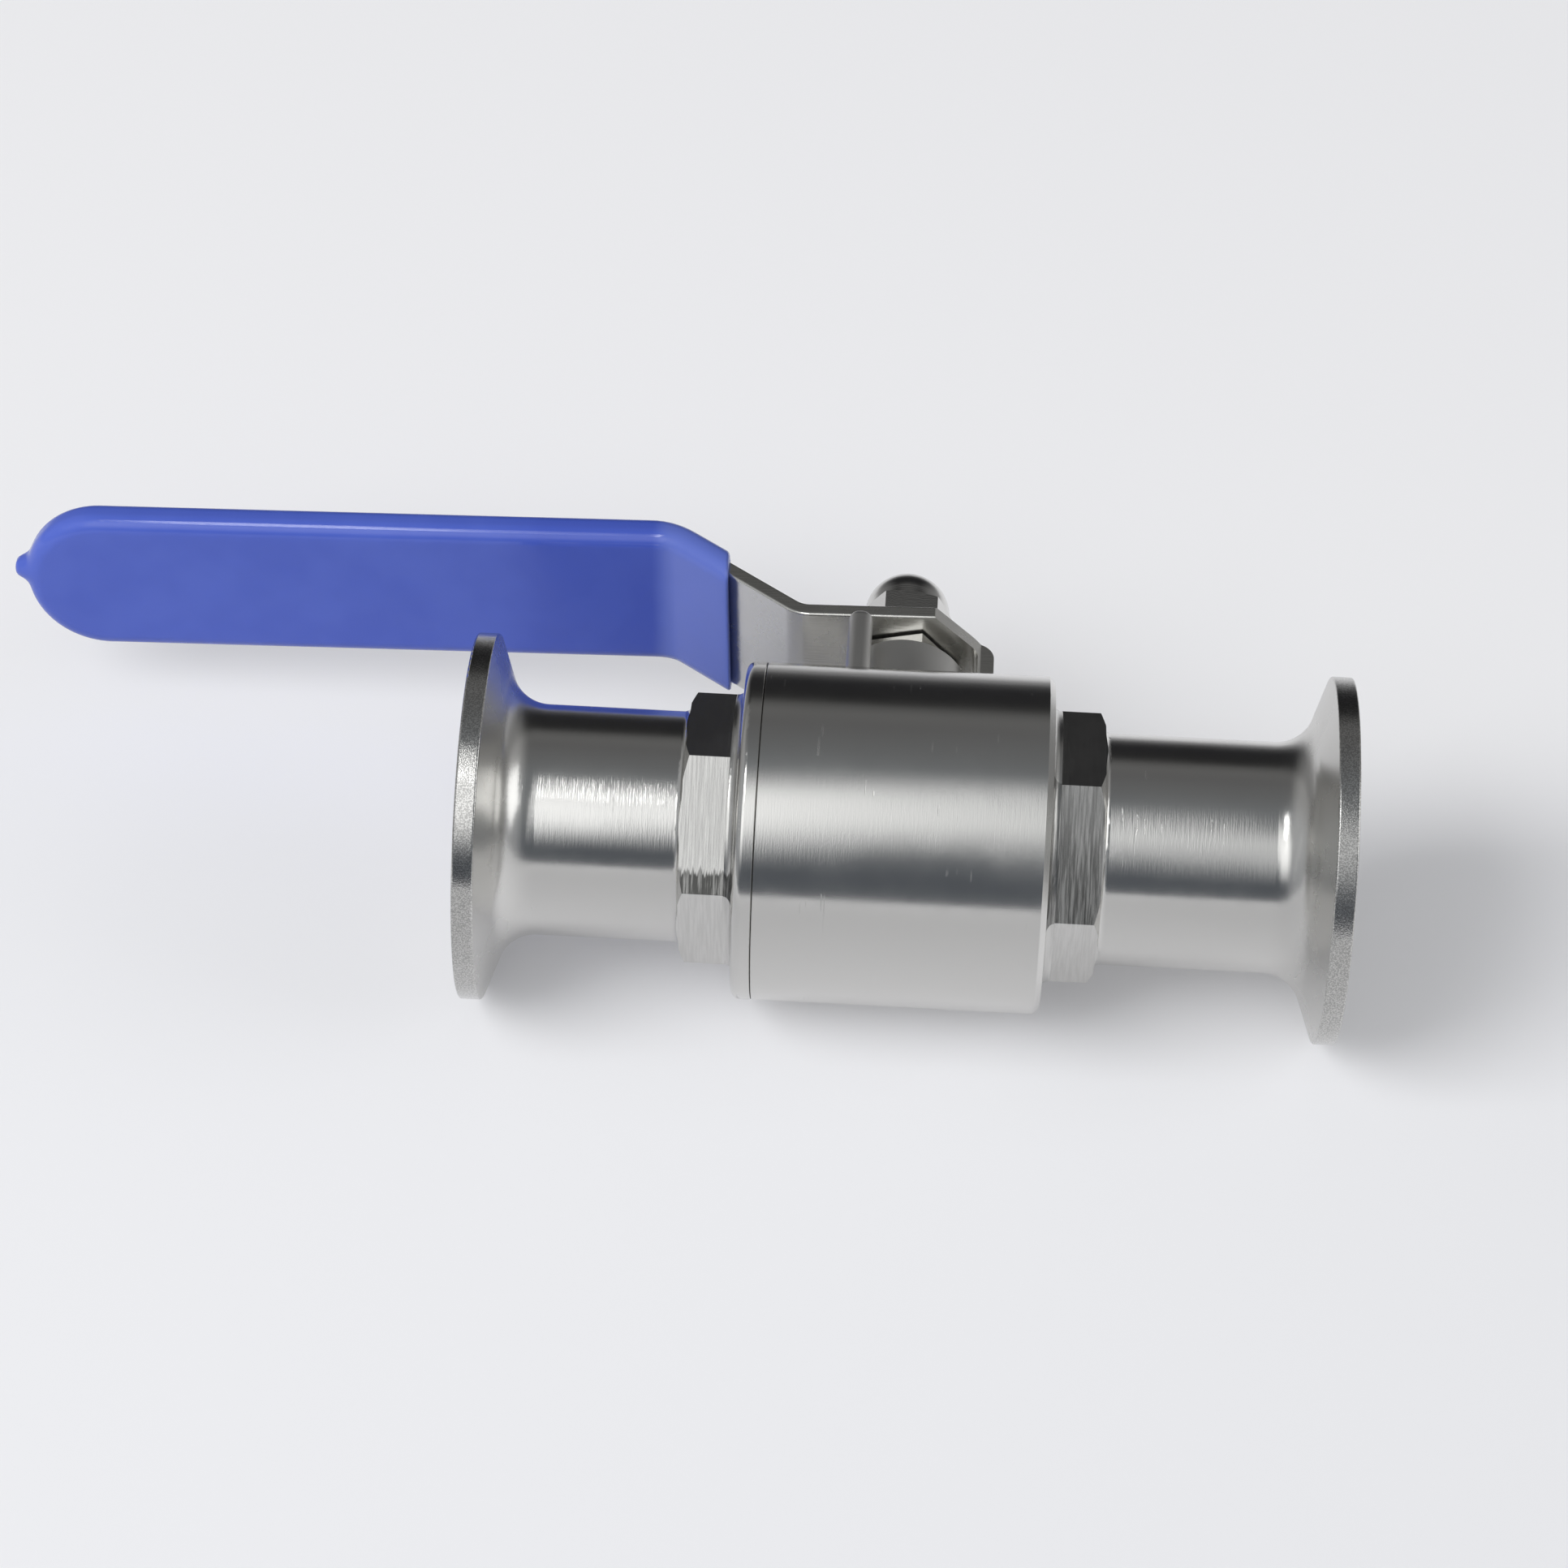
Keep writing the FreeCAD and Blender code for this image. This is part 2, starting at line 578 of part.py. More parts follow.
def make_valve_body(doc, s):
    """Barrel with one clamp end, stem boss and stop lugs: one casting, turned and milled."""
    body = new_body(doc, "valve_body")
    barrel = s.barrel_diameter / 2
    sketch = new_sketch(body, "turned_section", "XZ_Plane")
    outline = [
        (-s.joint_face, 0),
        (-s.joint_face, barrel),
        (s.barrel_shoulder, barrel),
        (s.barrel_shoulder, s.hex_corner),
        (s.body_hex_end - s.hex_crown, s.hex_corner),
        (s.body_hex_end, s.hex_corner - s.hex_crown_depth),
        (s.body_hex_end, s.neck_diameter / 2),
    ]
    outline += clamp_profile(s, s.body_face)
    outline.append((s.body_face, 0))
    draw_outline(sketch, outline)
    turn(body, "turned_blank", sketch, "H_Axis")
    mill_hexagon(body, s, s.barrel_shoulder, s.body_hex_end, 1, s.body_hex_turn)
    picked = ring_at(s.barrel_shoulder, barrel)
    dress(body, "PartDesign::Chamfer", "barrel_edge_break", s.barrel_edge, picked)
    picked = ring_at(-s.joint_face, barrel)
    dress(body, "PartDesign::Chamfer", "joint_edge_break", s.joint_edge, picked)
    sketch = new_sketch(body, "boss_outline", "XY_Plane")
    draw_circle(sketch, s.boss_diameter / 2)
    raise_pad(body, "stem_boss", sketch, s.boss_top)
    picked = level_ring_at(s.boss_top, s.boss_diameter / 2)
    dress(body, "PartDesign::Chamfer", "boss_edge_break", s.boss_edge, picked)
    add_stop_lugs(body, s)
    bore_for_flow(body, s)
    bore_for_stem(body, s)
    finish_clamp_end(body, s, s.body_face, 1)
    return body


def add_stop_lugs(body, s):
    """Two posts on the barrel that stop the lever's tab, one at each end of its quarter turn."""
    inner = s.tab_inner - s.lug_lead
    outer = inner + s.lug_depth
    slant = (s.lever_width - s.tab_width) / 2 / s.slant_length
    tab_side = s.tab_width / 2 + s.slant_lap * slant
    near_side = tab_side + s.tab_outer * sine(s.lever_play) + s.lug_gap
    far_side = near_side + s.lug_width
    sketch = new_sketch(body, "lug_outlines", "XY_Plane")
    draw_rounded_box(sketch, -far_side, -outer, -near_side, -inner, s.lug_corner)
    draw_rounded_box(sketch, inner, near_side, outer, far_side, s.lug_corner)
    raise_pad(body, "stop_lugs", sketch, s.lug_top)

    def on_top(edge):
        return all(near(vertex.Z, s.lug_top.value) for vertex in edge.Vertexes)

    dress(body, "PartDesign::Fillet", "lug_crowns", s.lug_crown, on_top)


def bore_for_flow(body, s):
    """Port, seat pocket, cavity and the threaded hole for the end cap, along the flow axis."""
    pocket = s.seat_diameter / 2 + s.seat_fit
    cavity = s.cavity_diameter / 2
    thread = s.spigot_diameter / 2 + s.thread_play
    shoulder = -(s.pocket_mouth - s.gasket_thickness)
    start = -(s.joint_face + CUT_PAST)
    end = s.body_face + CUT_PAST
    sketch = new_sketch(body, "flow_bore_section", "XZ_Plane")
    outline = [
        (start, 0),
        (start, thread),
        (shoulder, thread),
        (shoulder, cavity),
        (s.pocket_mouth, cavity),
        (s.pocket_mouth, pocket),
        (s.seat_back, pocket),
        (s.seat_back, s.port_diameter / 2),
        (end, s.port_diameter / 2),
        (end, 0),
    ]
    draw_outline(sketch, outline)
    turn(body, "flow_bore", sketch, "H_Axis", "PartDesign::Groove")


def bore_for_stem(body, s):
    """Stepped hole down through the boss: packing chamber, guide and collar recess."""
    recess = s.collar_diameter / 2 + s.collar_fit
    guide = s.shank_diameter / 2 + s.stem_fit
    chamber = s.packing_diameter / 2
    above = s.boss_top + CUT_PAST
    sketch = new_sketch(body, "stem_hole_section", "XZ_Plane")
    outline = [
        (0, 0),
        (recess, 0),
        (recess, s.thrust_top),
        (guide, s.thrust_top),
        (guide, s.packing_floor),
        (chamber, s.packing_floor),
        (chamber, above),
        (0, above),
    ]
    draw_outline(sketch, outline)
    turn(body, "stem_hole", sketch, "V_Axis", "PartDesign::Groove")


def make_end_cap(doc, s):
    """The other clamp end, with spanner hexagon, disc and the spigot that holds the seat."""
    body = new_body(doc, "end_cap")
    disc = s.barrel_diameter / 2
    spigot = s.spigot_diameter / 2
    pocket = s.seat_diameter / 2 + s.seat_fit
    sketch = new_sketch(body, "turned_section", "XZ_Plane")
    outline = [
        (s.pocket_mouth, pocket),
        (s.pocket_mouth, spigot),
        (s.joint_face, spigot),
        (s.joint_face, disc),
        (s.disc_back, disc),
        (s.disc_back, s.hex_corner),
        (s.cap_hex_end - s.hex_crown, s.hex_corner),
        (s.cap_hex_end, s.hex_corner - s.hex_crown_depth),
        (s.cap_hex_end, s.neck_diameter / 2),
    ]
    outline += clamp_profile(s, s.cap_face)
    outline += [
        (s.cap_face, s.port_diameter / 2),
        (s.seat_back, s.port_diameter / 2),
        (s.seat_back, pocket),
    ]
    draw_outline(sketch, mirrored(outline))
    turn(body, "turned_blank", sketch, "H_Axis")
    mill_hexagon(body, s, s.disc_back, s.cap_hex_end, -1, s.cap_hex_turn)
    picked = ring_at(-s.disc_back, disc)
    dress(body, "PartDesign::Fillet", "disc_rounding", s.disc_edge, picked)
    picked = ring_at(-s.joint_face, disc)
    dress(body, "PartDesign::Chamfer", "joint_edge_break", s.joint_edge, picked)
    finish_clamp_end(body, s, s.cap_face, -1)
    return body


def make_body_gasket(doc, s):
    """Flat ring squeezed between the spigot and the shoulder in the body."""
    body = new_body(doc, "body_gasket")
    sketch = new_sketch(body, "section", "XZ_Plane")
    inside = s.cavity_diameter / 2 + s.seat_fit
    outside = s.spigot_diameter / 2
    left = -s.pocket_mouth
    right = left + s.gasket_thickness
    draw_outline(sketch, [(left, inside), (left, outside), (right, outside), (right, inside)])
    turn(body, "ring", sketch, "H_Axis")
    return body


def make_seat_ring(doc, s, label, turned):
    """Seat with a spherical face for the ball; turned swings it to the end cap's side."""
    body = new_body(doc, label)
    sketch = new_sketch(body, "section", "XZ_Plane")
    inside = s.seat_bore / 2
    outside = s.seat_diameter / 2
    outline = [
        (s.seat_front, inside),
        (s.seat_front, outside),
        (s.seat_back, outside),
        (s.seat_back, inside),
    ]
    draw_outline(sketch, outline)
    turn(body, "ring", sketch, "H_Axis")
    sphere = body.newObject("PartDesign::SubtractiveSphere", "ball_face")
    bind(sphere, "Radius", s.ball_diameter / 2 + s.seat_gap)
    body.Placement = FreeCAD.Placement(
        FreeCAD.Vector(0, 0, 0), FreeCAD.Rotation(FreeCAD.Vector(0, 0, 1), turned)
    )
    return body


def make_ball(doc, s):
    """Ball with its full bore along X and the slot for the stem's tang across the top."""
    body = new_body(doc, "ball")
    sphere = body.newObject("PartDesign::AdditiveSphere", "sphere")
    bind(sphere, "Radius", s.ball_diameter / 2)
    sketch = new_sketch(body, "bore_outline", "YZ_Plane")
    draw_circle(sketch, s.port_diameter / 2)
    cut_pocket(body, "bore", sketch, s.ball_diameter, symmetric=True)

    def bore_edge(edge):
        curve = edge.Curve
        return isinstance(curve, Part.Circle) and near(curve.Radius, s.port_diameter.value / 2)

    dress(body, "PartDesign::Fillet", "bore_edges", s.ball_edge, bore_edge)
    half = s.tang_thickness / 2 + s.slot_play
    floor = s.tang_bottom - s.slot_floor
    reach = s.ball_diameter / 2
    sketch = new_sketch(body, "slot_outline", "XZ_Plane")
    top = s.ball_diameter
    draw_outline(sketch, [(-half, floor), (half, floor), (half, top), (-half, top)])
    cut_pocket(body, "stem_slot", sketch, reach * 2, symmetric=True)
    return body


def make_stem(doc, s):
    """Blow-out-proof stem: tang, collar, ring groove, packed shank, flats and screw."""
    body = new_body(doc, "stem")
    shank = s.shank_diameter / 2
    screw = s.screw_diameter / 2
    groove_floor = shank + s.stem_fit - s.ring_fit - s.ring_section
    groove_middle = (s.thrust_top + s.packing_floor) / 2
    groove_half = s.ring_section / 2 + s.ring_fit
    sketch = new_sketch(body, "turned_section", "XZ_Plane")
    outline = [
        (0, s.tang_bottom),
        (s.tang_diameter / 2, s.tang_bottom),
        (s.tang_diameter / 2, s.collar_bottom),
        (s.collar_diameter / 2, s.collar_bottom),
        (s.collar_diameter / 2, s.collar_top),
        (shank, s.collar_top),
        (shank, groove_middle - groove_half),
        (groove_floor, groove_middle - groove_half),
        (groove_floor, groove_middle + groove_half),
        (shank, groove_middle + groove_half),
        (shank, s.lever_seat),
        (screw, s.lever_seat),
        (screw, s.screw_end),
        (0, s.screw_end),
    ]
    draw_outline(sketch, outline)
    turn(body, "turned_blank", sketch, "V_Axis")
    wide = s.tang_diameter
    cheek = s.tang_thickness / 2
    sketch = new_sketch(body, "tang_cheeks", "XY_Plane", s.tang_bottom)
    for low, high in ((cheek, wide), (-wide, -cheek)):
        draw_outline(sketch, [(low, -wide), (high, -wide), (high, wide), (low, wide)])
    cut_pocket(body, "tang", sketch, s.collar_bottom - s.tang_bottom, forward=True)
    flat = s.flats_across / 2
    sketch = new_sketch(body, "flats_outline", "XY_Plane", s.lever_seat)
    for low, high in ((flat, wide), (-wide, -flat)):
        draw_outline(sketch, [(-wide, low), (wide, low), (wide, high), (-wide, high)])
    cut_pocket(body, "lever_flats", sketch, s.screw_end - s.lever_seat, forward=True)
    picked = level_ring_at(s.screw_end, screw)
    dress(body, "PartDesign::Chamfer", "screw_lead_bevel", s.screw_lead, picked)
    return body


def make_level_ring(doc, label, outline):
    """A ring about the stem axis from its section."""
    body = new_body(doc, label)
    sketch = new_sketch(body, "section", "XZ_Plane")
    draw_outline(sketch, outline)
    turn(body, "ring", sketch, "V_Axis")
    return body


def flat_section(inside, outside, low, high):
    return [(inside, low), (outside, low), (outside, high), (inside, high)]


def make_stem_rings(doc, s):
    """What the stem passes through: thrust washer, rubber ring, packing set and gland ring."""
    inside = s.shank_diameter / 2 + s.packing_fit
    outside = s.packing_diameter / 2 - s.packing_fit
    middle = (inside + outside) / 2
    section = flat_section(inside, s.collar_diameter / 2, s.collar_top, s.thrust_top)
    rings = [make_level_ring(doc, "stem_thrust_washer", section), make_rubber_ring(doc, s)]
    edge = s.first_chevron
    section = [
        (inside, s.packing_floor),
        (outside, s.packing_floor),
        (outside, edge),
        (middle, edge + s.chevron_rise),
        (inside, edge),
    ]
    rings.append(make_level_ring(doc, "packing_bottom_ring", section))
    for name in ("lower", "middle", "upper"):
        top = edge + s.chevron_pitch
        section = [
            (inside, edge),
            (middle, edge + s.chevron_rise),
            (outside, edge),
            (outside, top),
            (middle, top + s.chevron_rise),
            (inside, top),
        ]
        rings.append(make_level_ring(doc, f"packing_v_ring_{name}", section))
        edge = top
    section = [
        (inside, edge),
        (middle, edge + s.chevron_rise),
        (outside, edge),
        (outside, s.packing_top),
        (inside, s.packing_top),
    ]
    rings.append(make_level_ring(doc, "packing_top_ring", section))
    section = flat_section(inside, outside, s.packing_top, s.gland_bottom)
    rings.append(make_level_ring(doc, "gland_ring", section))
    return rings


def make_rubber_ring(doc, s):
    """Round rubber ring in the stem's groove."""
    body = new_body(doc, "stem_o_ring")
    sketch = new_sketch(body, "section", "XZ_Plane")
    out = s.shank_diameter / 2 + s.stem_fit - s.ring_fit - s.ring_section / 2
    level = (s.thrust_top + s.packing_floor) / 2
    draw_circle(sketch, s.ring_section / 2, (out, level))
    turn(body, "ring", sketch, "V_Axis")
    return body


def make_gland_nut(doc, s):
    """Hollow screw that presses the packing down into the boss."""
    body = new_body(doc, "gland_nut")
    hole = s.shank_diameter / 2 + s.stem_fit
    thread = s.packing_diameter / 2 - s.thread_play
    head = s.gland_across_flats / root(3)
    sketch = new_sketch(body, "turned_section", "XZ_Plane")
    outline = [
        (hole, s.gland_bottom),
        (thread, s.gland_bottom),
        (thread, s.boss_top),
        (head, s.boss_top),
        (head, s.gland_top),
        (hole, s.gland_top),
    ]
    draw_outline(sketch, outline)
    turn(body, "turned_blank", sketch, "V_Axis")
    sketch = new_sketch(body, "spanner_flats", "XY_Plane", s.boss_top)
    draw_circle(sketch, s.boss_diameter)
    draw_hexagon(sketch, s.gland_across_flats, s.gland_turn)
    cut_pocket(body, "spanner_hexagon", sketch, s.gland_head, forward=True)
    return body


def make_lever(doc, s):
    """Bent steel strip: cut-corner head with its stop tab, cranked slope and long handle."""
    body = new_body(doc, "lever")
    lower_top = (-s.crank_start, s.lever_top)
    upper_top = (s.upper_bend, s.handle_top)
    upper_under = (s.slope_place(-s.lever_thickness, s.handle_under), s.handle_under)
    lower_under = (s.slope_place(-s.lever_thickness, s.lever_seat), s.lever_seat)
    tab_top = (s.tab_outer, s.lever_top)
    tab_under = (s.tab_inner, s.lever_seat)
    outline = [
        lower_top,
        upper_top,
        (-s.lever_end, s.handle_top),
        (-s.lever_end, s.handle_under),
        upper_under,
        lower_under,
        tab_under,
        (s.tab_inner, s.tab_end),
        (s.tab_outer, s.tab_end),
        tab_top,
    ]
    sketch = new_sketch(body, "side_outline", "XZ_Plane")
    draw_outline(sketch, outline)
    raise_pad(body, "strip", sketch, s.lever_width, symmetric=True)
    bends = (
        ("lower", s.lower_bend_radius, lower_top, lower_under),
        ("upper", s.upper_bend_radius, upper_under, upper_top),
        ("tab", s.tab_bend_radius, tab_under, tab_top),
    )
    for name, radius, inner, outer in bends:
        dress(body, "PartDesign::Fillet", f"{name}_bend_inside", radius, crossing_at([inner]))
        picked = crossing_at([outer])
        dress(body, "PartDesign::Fillet", f"{name}_bend_outside", radius + s.lever_thickness, picked)
    cut_head(body, s)
    rounding = smaller(s.lever_end_radius, s.lever_width * ROUND_SHARE)
    dress(body, "PartDesign::Fillet", "rounded_end", rounding, upright_at(-s.lever_end))
    half_width = s.lever_width.value / 2

    def long_edge(edge):
        box = edge.BoundBox
        return near(box.YMin, box.YMax) and near(abs(box.YMin), half_width)

    dress(body, "PartDesign::Fillet", "rounded_edges", s.lever_edge, long_edge)
    body.Placement = lever_turn(s)
    return body


def cut_head(body, s):
    """Cuts the head's two corners down to the tab and its hole with two flats."""
    half = s.lever_width / 2
    tab = s.tab_width / 2
    slant_end = s.tab_inner + s.slant_lap
    slant_start = slant_end - s.slant_length
    beyond = s.tab_outer + s.lever_width
    corner = [
        (slant_start, half),
        (slant_end, tab),
        (beyond, tab),
        (beyond, beyond),
        (slant_start, beyond),
    ]
    sketch = new_sketch(body, "head_corners", "XY_Plane")
    draw_outline(sketch, corner)
    draw_outline(sketch, [(x, -y) for x, y in reversed(corner)])
    cut_pocket(body, "cut_corners", sketch, forward=True)
    sketch = new_sketch(body, "stem_hole_outline", "XY_Plane", s.lever_seat - CUT_PAST)
    draw_double_d(sketch, s.screw_diameter / 2 + s.hole_play, s.flats_across / 2 + s.hole_play)
    cut_pocket(body, "stem_hole", sketch, s.lever_thickness + 2 * CUT_PAST, forward=True)


def lever_turn(s):
    """Where the lever comes to rest: turned about the stem by its play on the flats."""
    turned = FreeCAD.Rotation(FreeCAD.Vector(0, 0, 1), -s.lever_play.value)
    return FreeCAD.Placement(FreeCAD.Vector(0, 0, 0), turned)


def make_lever_grip(doc, s, lever):
    """Dipped vinyl sleeve over the handle, rounded at its end, with the drip point left on."""
    blank = new_body(doc, "sleeve_blank")
    end = s.lever_end + s.grip_tail
    mouth = s.upper_bend + s.grip_reach
    below = -(s.lever_thickness + s.slope_wall)
    top = s.handle_top + s.grip_wall
    under = s.handle_under - s.grip_wall
    bend_top = (s.slope_place(s.slope_wall, top), top)
    bend_under = (s.slope_place(below, under), under)
    outline = [
        (mouth, s.slope_level(s.slope_wall, mouth)),
        bend_top,
        (-end, top),
        (-end, under),
        bend_under,
        (mouth, s.slope_level(below, mouth)),
    ]
    sketch = new_sketch(blank, "side_outline", "XZ_Plane")
    draw_outline(sketch, outline)
    half_width = s.lever_width / 2 + s.grip_wall
    raise_pad(blank, "sleeve", sketch, half_width * 2, symmetric=True)
    radius = s.upper_bend_radius - s.slope_wall
    dress(blank, "PartDesign::Fillet", "bend_inside", radius, crossing_at([bend_under]))
    radius = s.upper_bend_radius + s.lever_thickness + s.grip_wall
    dress(blank, "PartDesign::Fillet", "bend_outside", radius, crossing_at([bend_top]))
    rounding = smaller(s.grip_end_radius, half_width * (2 * ROUND_SHARE))
    dress(blank, "PartDesign::Fillet", "rounded_end", rounding, upright_at(-end))
    corner = end.value - rounding.value

    def long_edge(edge):
        box = edge.BoundBox
        at_mouth = near(box.XMin, mouth.value)
        on_side = near(box.YMin, box.YMax) and near(abs(box.YMin), half_width.value)
        round_end = box.XMin < -corner and near(box.ZMin, box.ZMax)
        upright = near(box.XMin, box.XMax)
        return not at_mouth and not upright and (on_side or round_end)

    slope_depth = s.lever_thickness + s.slope_wall * 2
    rounding = smaller(s.grip_edge, slope_depth * ROUND_SHARE)
    dress(blank, "PartDesign::Fillet", "soft_edges", rounding, long_edge)

    def mouth_rim(edge):
        box = edge.BoundBox
        return near(box.XMin, mouth.value) and near(box.XMax, mouth.value)

    rounding = smaller(s.mouth_edge, s.slope_wall * (2 * ROUND_SHARE))
    dress(blank, "PartDesign::Fillet", "mouth_rounding", rounding, mouth_rim)
    add_drip_point(blank, s, end)
    blank.Placement = lever_turn(s)
    doc.recompute()
    grip = doc.addObject("Part::Cut", "lever_grip")
    grip.Label = "lever_grip"
    grip.Base = blank
    grip.Tool = lever
    return grip


def add_drip_point(body, s, end):
    """The point where the last of the vinyl ran off: a flared root and a rounded tip."""
    level = s.handle_under + s.lever_thickness / 2
    thin = s.drip_diameter / 2
    tip = end + s.drip_length
    base = end - s.grip_edge
    sketch = new_sketch(body, "drip_outline", "XZ_Plane", s.drip_offset)
    outline = [
        (-base, level),
        (-tip, level),
        (-tip, level + thin),
        (-(tip - thin), level + thin),
        (-base, level + s.drip_root / 2),
    ]
    draw_outline(sketch, outline)
    feature = body.newObject("PartDesign::Revolution", "drip_point")
    feature.Profile = sketch
    feature.ReferenceAxis = (sketch, ["Edge1"])
    feature.Angle = FULL_TURN

    def tip_edge(edge):
        box = edge.BoundBox
        return near(box.XMin, -tip.value) and near(box.XMax, -tip.value)

    dress(body, "PartDesign::Fillet", "round_tip", s.drip_diameter * ROUND_SHARE, tip_edge)


def make_spring_washer(doc, s):
    """Split lock washer under the cap nut."""
    body = new_body(doc, "spring_washer")
    inside = s.screw_diameter / 2 + s.thread_play
    outside = s.washer_outside / 2
    sketch = new_sketch(body, "section", "XZ_Plane")
    draw_outline(sketch, flat_section(inside, outside, s.lever_top, s.nut_bottom))
    turn(body, "ring", sketch, "V_Axis")
    half = s.washer_split / 2
    reach = s.washer_outside
    sketch = new_sketch(body, "split_outline", "XY_Plane", s.lever_top)
    draw_outline(sketch, [(0, -half), (reach, -half), (reach, half), (0, half)])
    cut_pocket(body, "split", sketch, s.washer_thickness, forward=True)
    return body


def make_stem_nut(doc, s):
    """Domed cap nut on the stem's screw."""
    body = new_body(doc, "stem_nut")
    low = s.nut_bottom
    hex_top = low + s.nut_hex_height
    dome = s.dome_diameter / 2
    corner = s.nut_across_flats / root(3)
    bevel = (corner - dome) * tangent(s.nut_bevel_angle)
    dome_middle = s.nut_top - dome
    sketch = new_sketch(body, "turned_section", "XZ_Plane")
    outline = [
        (0, low),
        (dome, low),
        (corner, low + bevel),
        (corner, hex_top - bevel),
        (dome, hex_top),
        (dome, dome_middle),
        (0, dome_middle),
    ]
    draw_outline(sketch, outline)
    turn(body, "turned_blank", sketch, "V_Axis")
    sphere = body.newObject("PartDesign::AdditiveSphere", "dome")
    attach(body, sphere, "XY_Plane", dome_middle)
    bind(sphere, "Radius", dome)
    sketch = new_sketch(body, "spanner_flats", "XY_Plane", low)
    draw_circle(sketch, s.nut_across_flats)
    draw_hexagon(sketch, s.nut_across_flats, s.nut_turn)
    cut_pocket(body, "spanner_hexagon", sketch, s.nut_hex_height, forward=True)
    sketch = new_sketch(body, "hole_outline", "XY_Plane", low)
    draw_circle(sketch, s.screw_diameter / 2 + s.thread_play)
    cut_pocket(body, "blind_hole", sketch, s.hole_top - low, forward=True)
    return body


def check(doc, pieces):
    """Stops unless every object computed and every piece is one valid closed solid."""
    for item in doc.Objects:
        if "Invalid" in item.State or "Error" in item.State:
            raise RuntimeError(f"{item.Label} failed: {item.State}")
    for piece in pieces:
        shape = piece.Shape
        if shape.isNull() or not shape.isValid():
            raise RuntimeError(f"{piece.Label} is not a valid shape")
        if len(shape.Solids) != 1:
            raise RuntimeError(f"{piece.Label} has {len(shape.Solids)} solids")


def main():
    doc = FreeCAD.newDocument("ball_valve")
    s = Sizes(doc)
    lever = make_lever(doc, s)
    pieces = [
        make_valve_body(doc, s),
        make_end_cap(doc, s),
        make_body_gasket(doc, s),
        make_seat_ring(doc, s, "seat_ring_body", 0),
        make_seat_ring(doc, s, "seat_ring_cap", 180),
        make_ball(doc, s),
        make_stem(doc, s),
        make_gland_nut(doc, s),
        lever,
        make_lever_grip(doc, s, lever),
        make_spring_washer(doc, s),
        make_stem_nut(doc, s),
    ]
    pieces += make_stem_rings(doc, s)
    doc.recompute()
    check(doc, pieces)
    os.makedirs("parts", exist_ok=True)
    for piece in pieces:
        piece.Shape.exportStep(f"parts/{piece.Label}.step")


main()
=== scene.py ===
"""Clamp ball valve: metal finishes, dipped vinyl sleeve and studio, laid out as an add-on."""

import math

import bmesh
import bpy
from mathutils import Matrix, Vector


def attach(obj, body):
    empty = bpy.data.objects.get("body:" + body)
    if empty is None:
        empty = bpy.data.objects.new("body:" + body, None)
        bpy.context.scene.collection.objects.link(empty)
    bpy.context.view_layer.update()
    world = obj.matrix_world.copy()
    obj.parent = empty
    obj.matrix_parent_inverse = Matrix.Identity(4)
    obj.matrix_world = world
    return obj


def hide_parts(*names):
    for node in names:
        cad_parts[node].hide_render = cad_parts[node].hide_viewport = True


bl_info = {
    "name": "Clamp ball valve",
    "version": (1, 0, 0),
    "blender": (4, 5, 0),
    "location": "View3D > Sidebar > Valve",
    "description": "Metal finishes, a dipped vinyl sleeve and a studio for a clamp ball valve",
    "category": "Object",
}

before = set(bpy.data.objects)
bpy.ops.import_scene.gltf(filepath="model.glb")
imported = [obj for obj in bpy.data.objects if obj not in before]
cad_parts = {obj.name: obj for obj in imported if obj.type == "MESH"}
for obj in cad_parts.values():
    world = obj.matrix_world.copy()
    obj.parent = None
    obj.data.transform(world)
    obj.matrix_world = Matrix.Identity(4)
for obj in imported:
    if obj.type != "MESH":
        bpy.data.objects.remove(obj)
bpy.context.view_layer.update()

MM = 0.001

# Places on the valve, in metres, as the solids have them.
BARREL_END = 20.92 * MM
BODY_HEX_END = 28.12 * MM
DISC_BACK = -21.32 * MM
CAP_HEX_END = -28.72 * MM
NECK_ENDS = (-48.0 * MM, 51.0 * MM)
CONE_RUN = 5 * MM
SEAM = -18.52 * MM
SEAM_HALF_WIDTH = 0.06 * MM
HEX_HALF = 16.1 * MM
RIM_RADIUS = 25.0 * MM
BARREL_RADIUS = 23.25 * MM
NECK_LIMIT_RADIUS = 20 * MM
HEX_LIMIT_RADIUS = BARREL_RADIUS - 2 * MM
SEAM_LIMIT_RADIUS = BARREL_RADIUS - 1 * MM
SKIN = 0.1 * MM

# Which way the two flats that are painted darker face, as Y and Z: one on the body and one on the end cap.
BODY_SHADED_FLAT = (-0.635, -0.773)
CAP_SHADED_FLAT = (-0.697, -0.717)
# How dark each is painted: between two places across the flat, from one share to another. The
# body's is painted shade that darkens across the flat; the cap's is a darker strip at one edge.
BODY_PAINTED_SHADE = (-9 * MM, 9 * MM, 0.5, 0.85)
CAP_DARK_EDGE = (6.0 * MM, 6.8 * MM, 0.1, 1.25)

# Marks on the zones of body and end cap, and how deep they are as a share of the mark depth.
ZONE_MARKS = (
    ("grain", "between", 0.2),
    ("brushed", "necks", 0.9),
    ("brushed", "barrel", 0.3),
    ("ground", "flats", 1.3),
    ("rings", "cones", 0.08),
    ("grain", "rims", 1.3),
)
SCRATCH_DEPTH = -0.8
# What the zones add to the roughness of a turned surface.
ZONE_BLURS = (
    ("barrel", -0.01),
    ("flats", 0.08),
    ("cones", 0.1),
    ("cast", 0.28),
    ("scratches", 0.1),
    ("seam", 0.4),
)

# Where the vinyl is a deeper blue near the bend, along X: that comes on between the
# first two places and goes off between the last two.
DEEP_BLUE_NEAR_BEND = (-62 * MM, -50 * MM, -37.5 * MM, -35.5 * MM)
# Where it turns paler towards the mouth: painted light on the sleeve's slope, which faces the left lamp more
# than the handle does.
PAINTED_LIGHT_ON_SLOPE = (-37.5 * MM, -34.5 * MM)
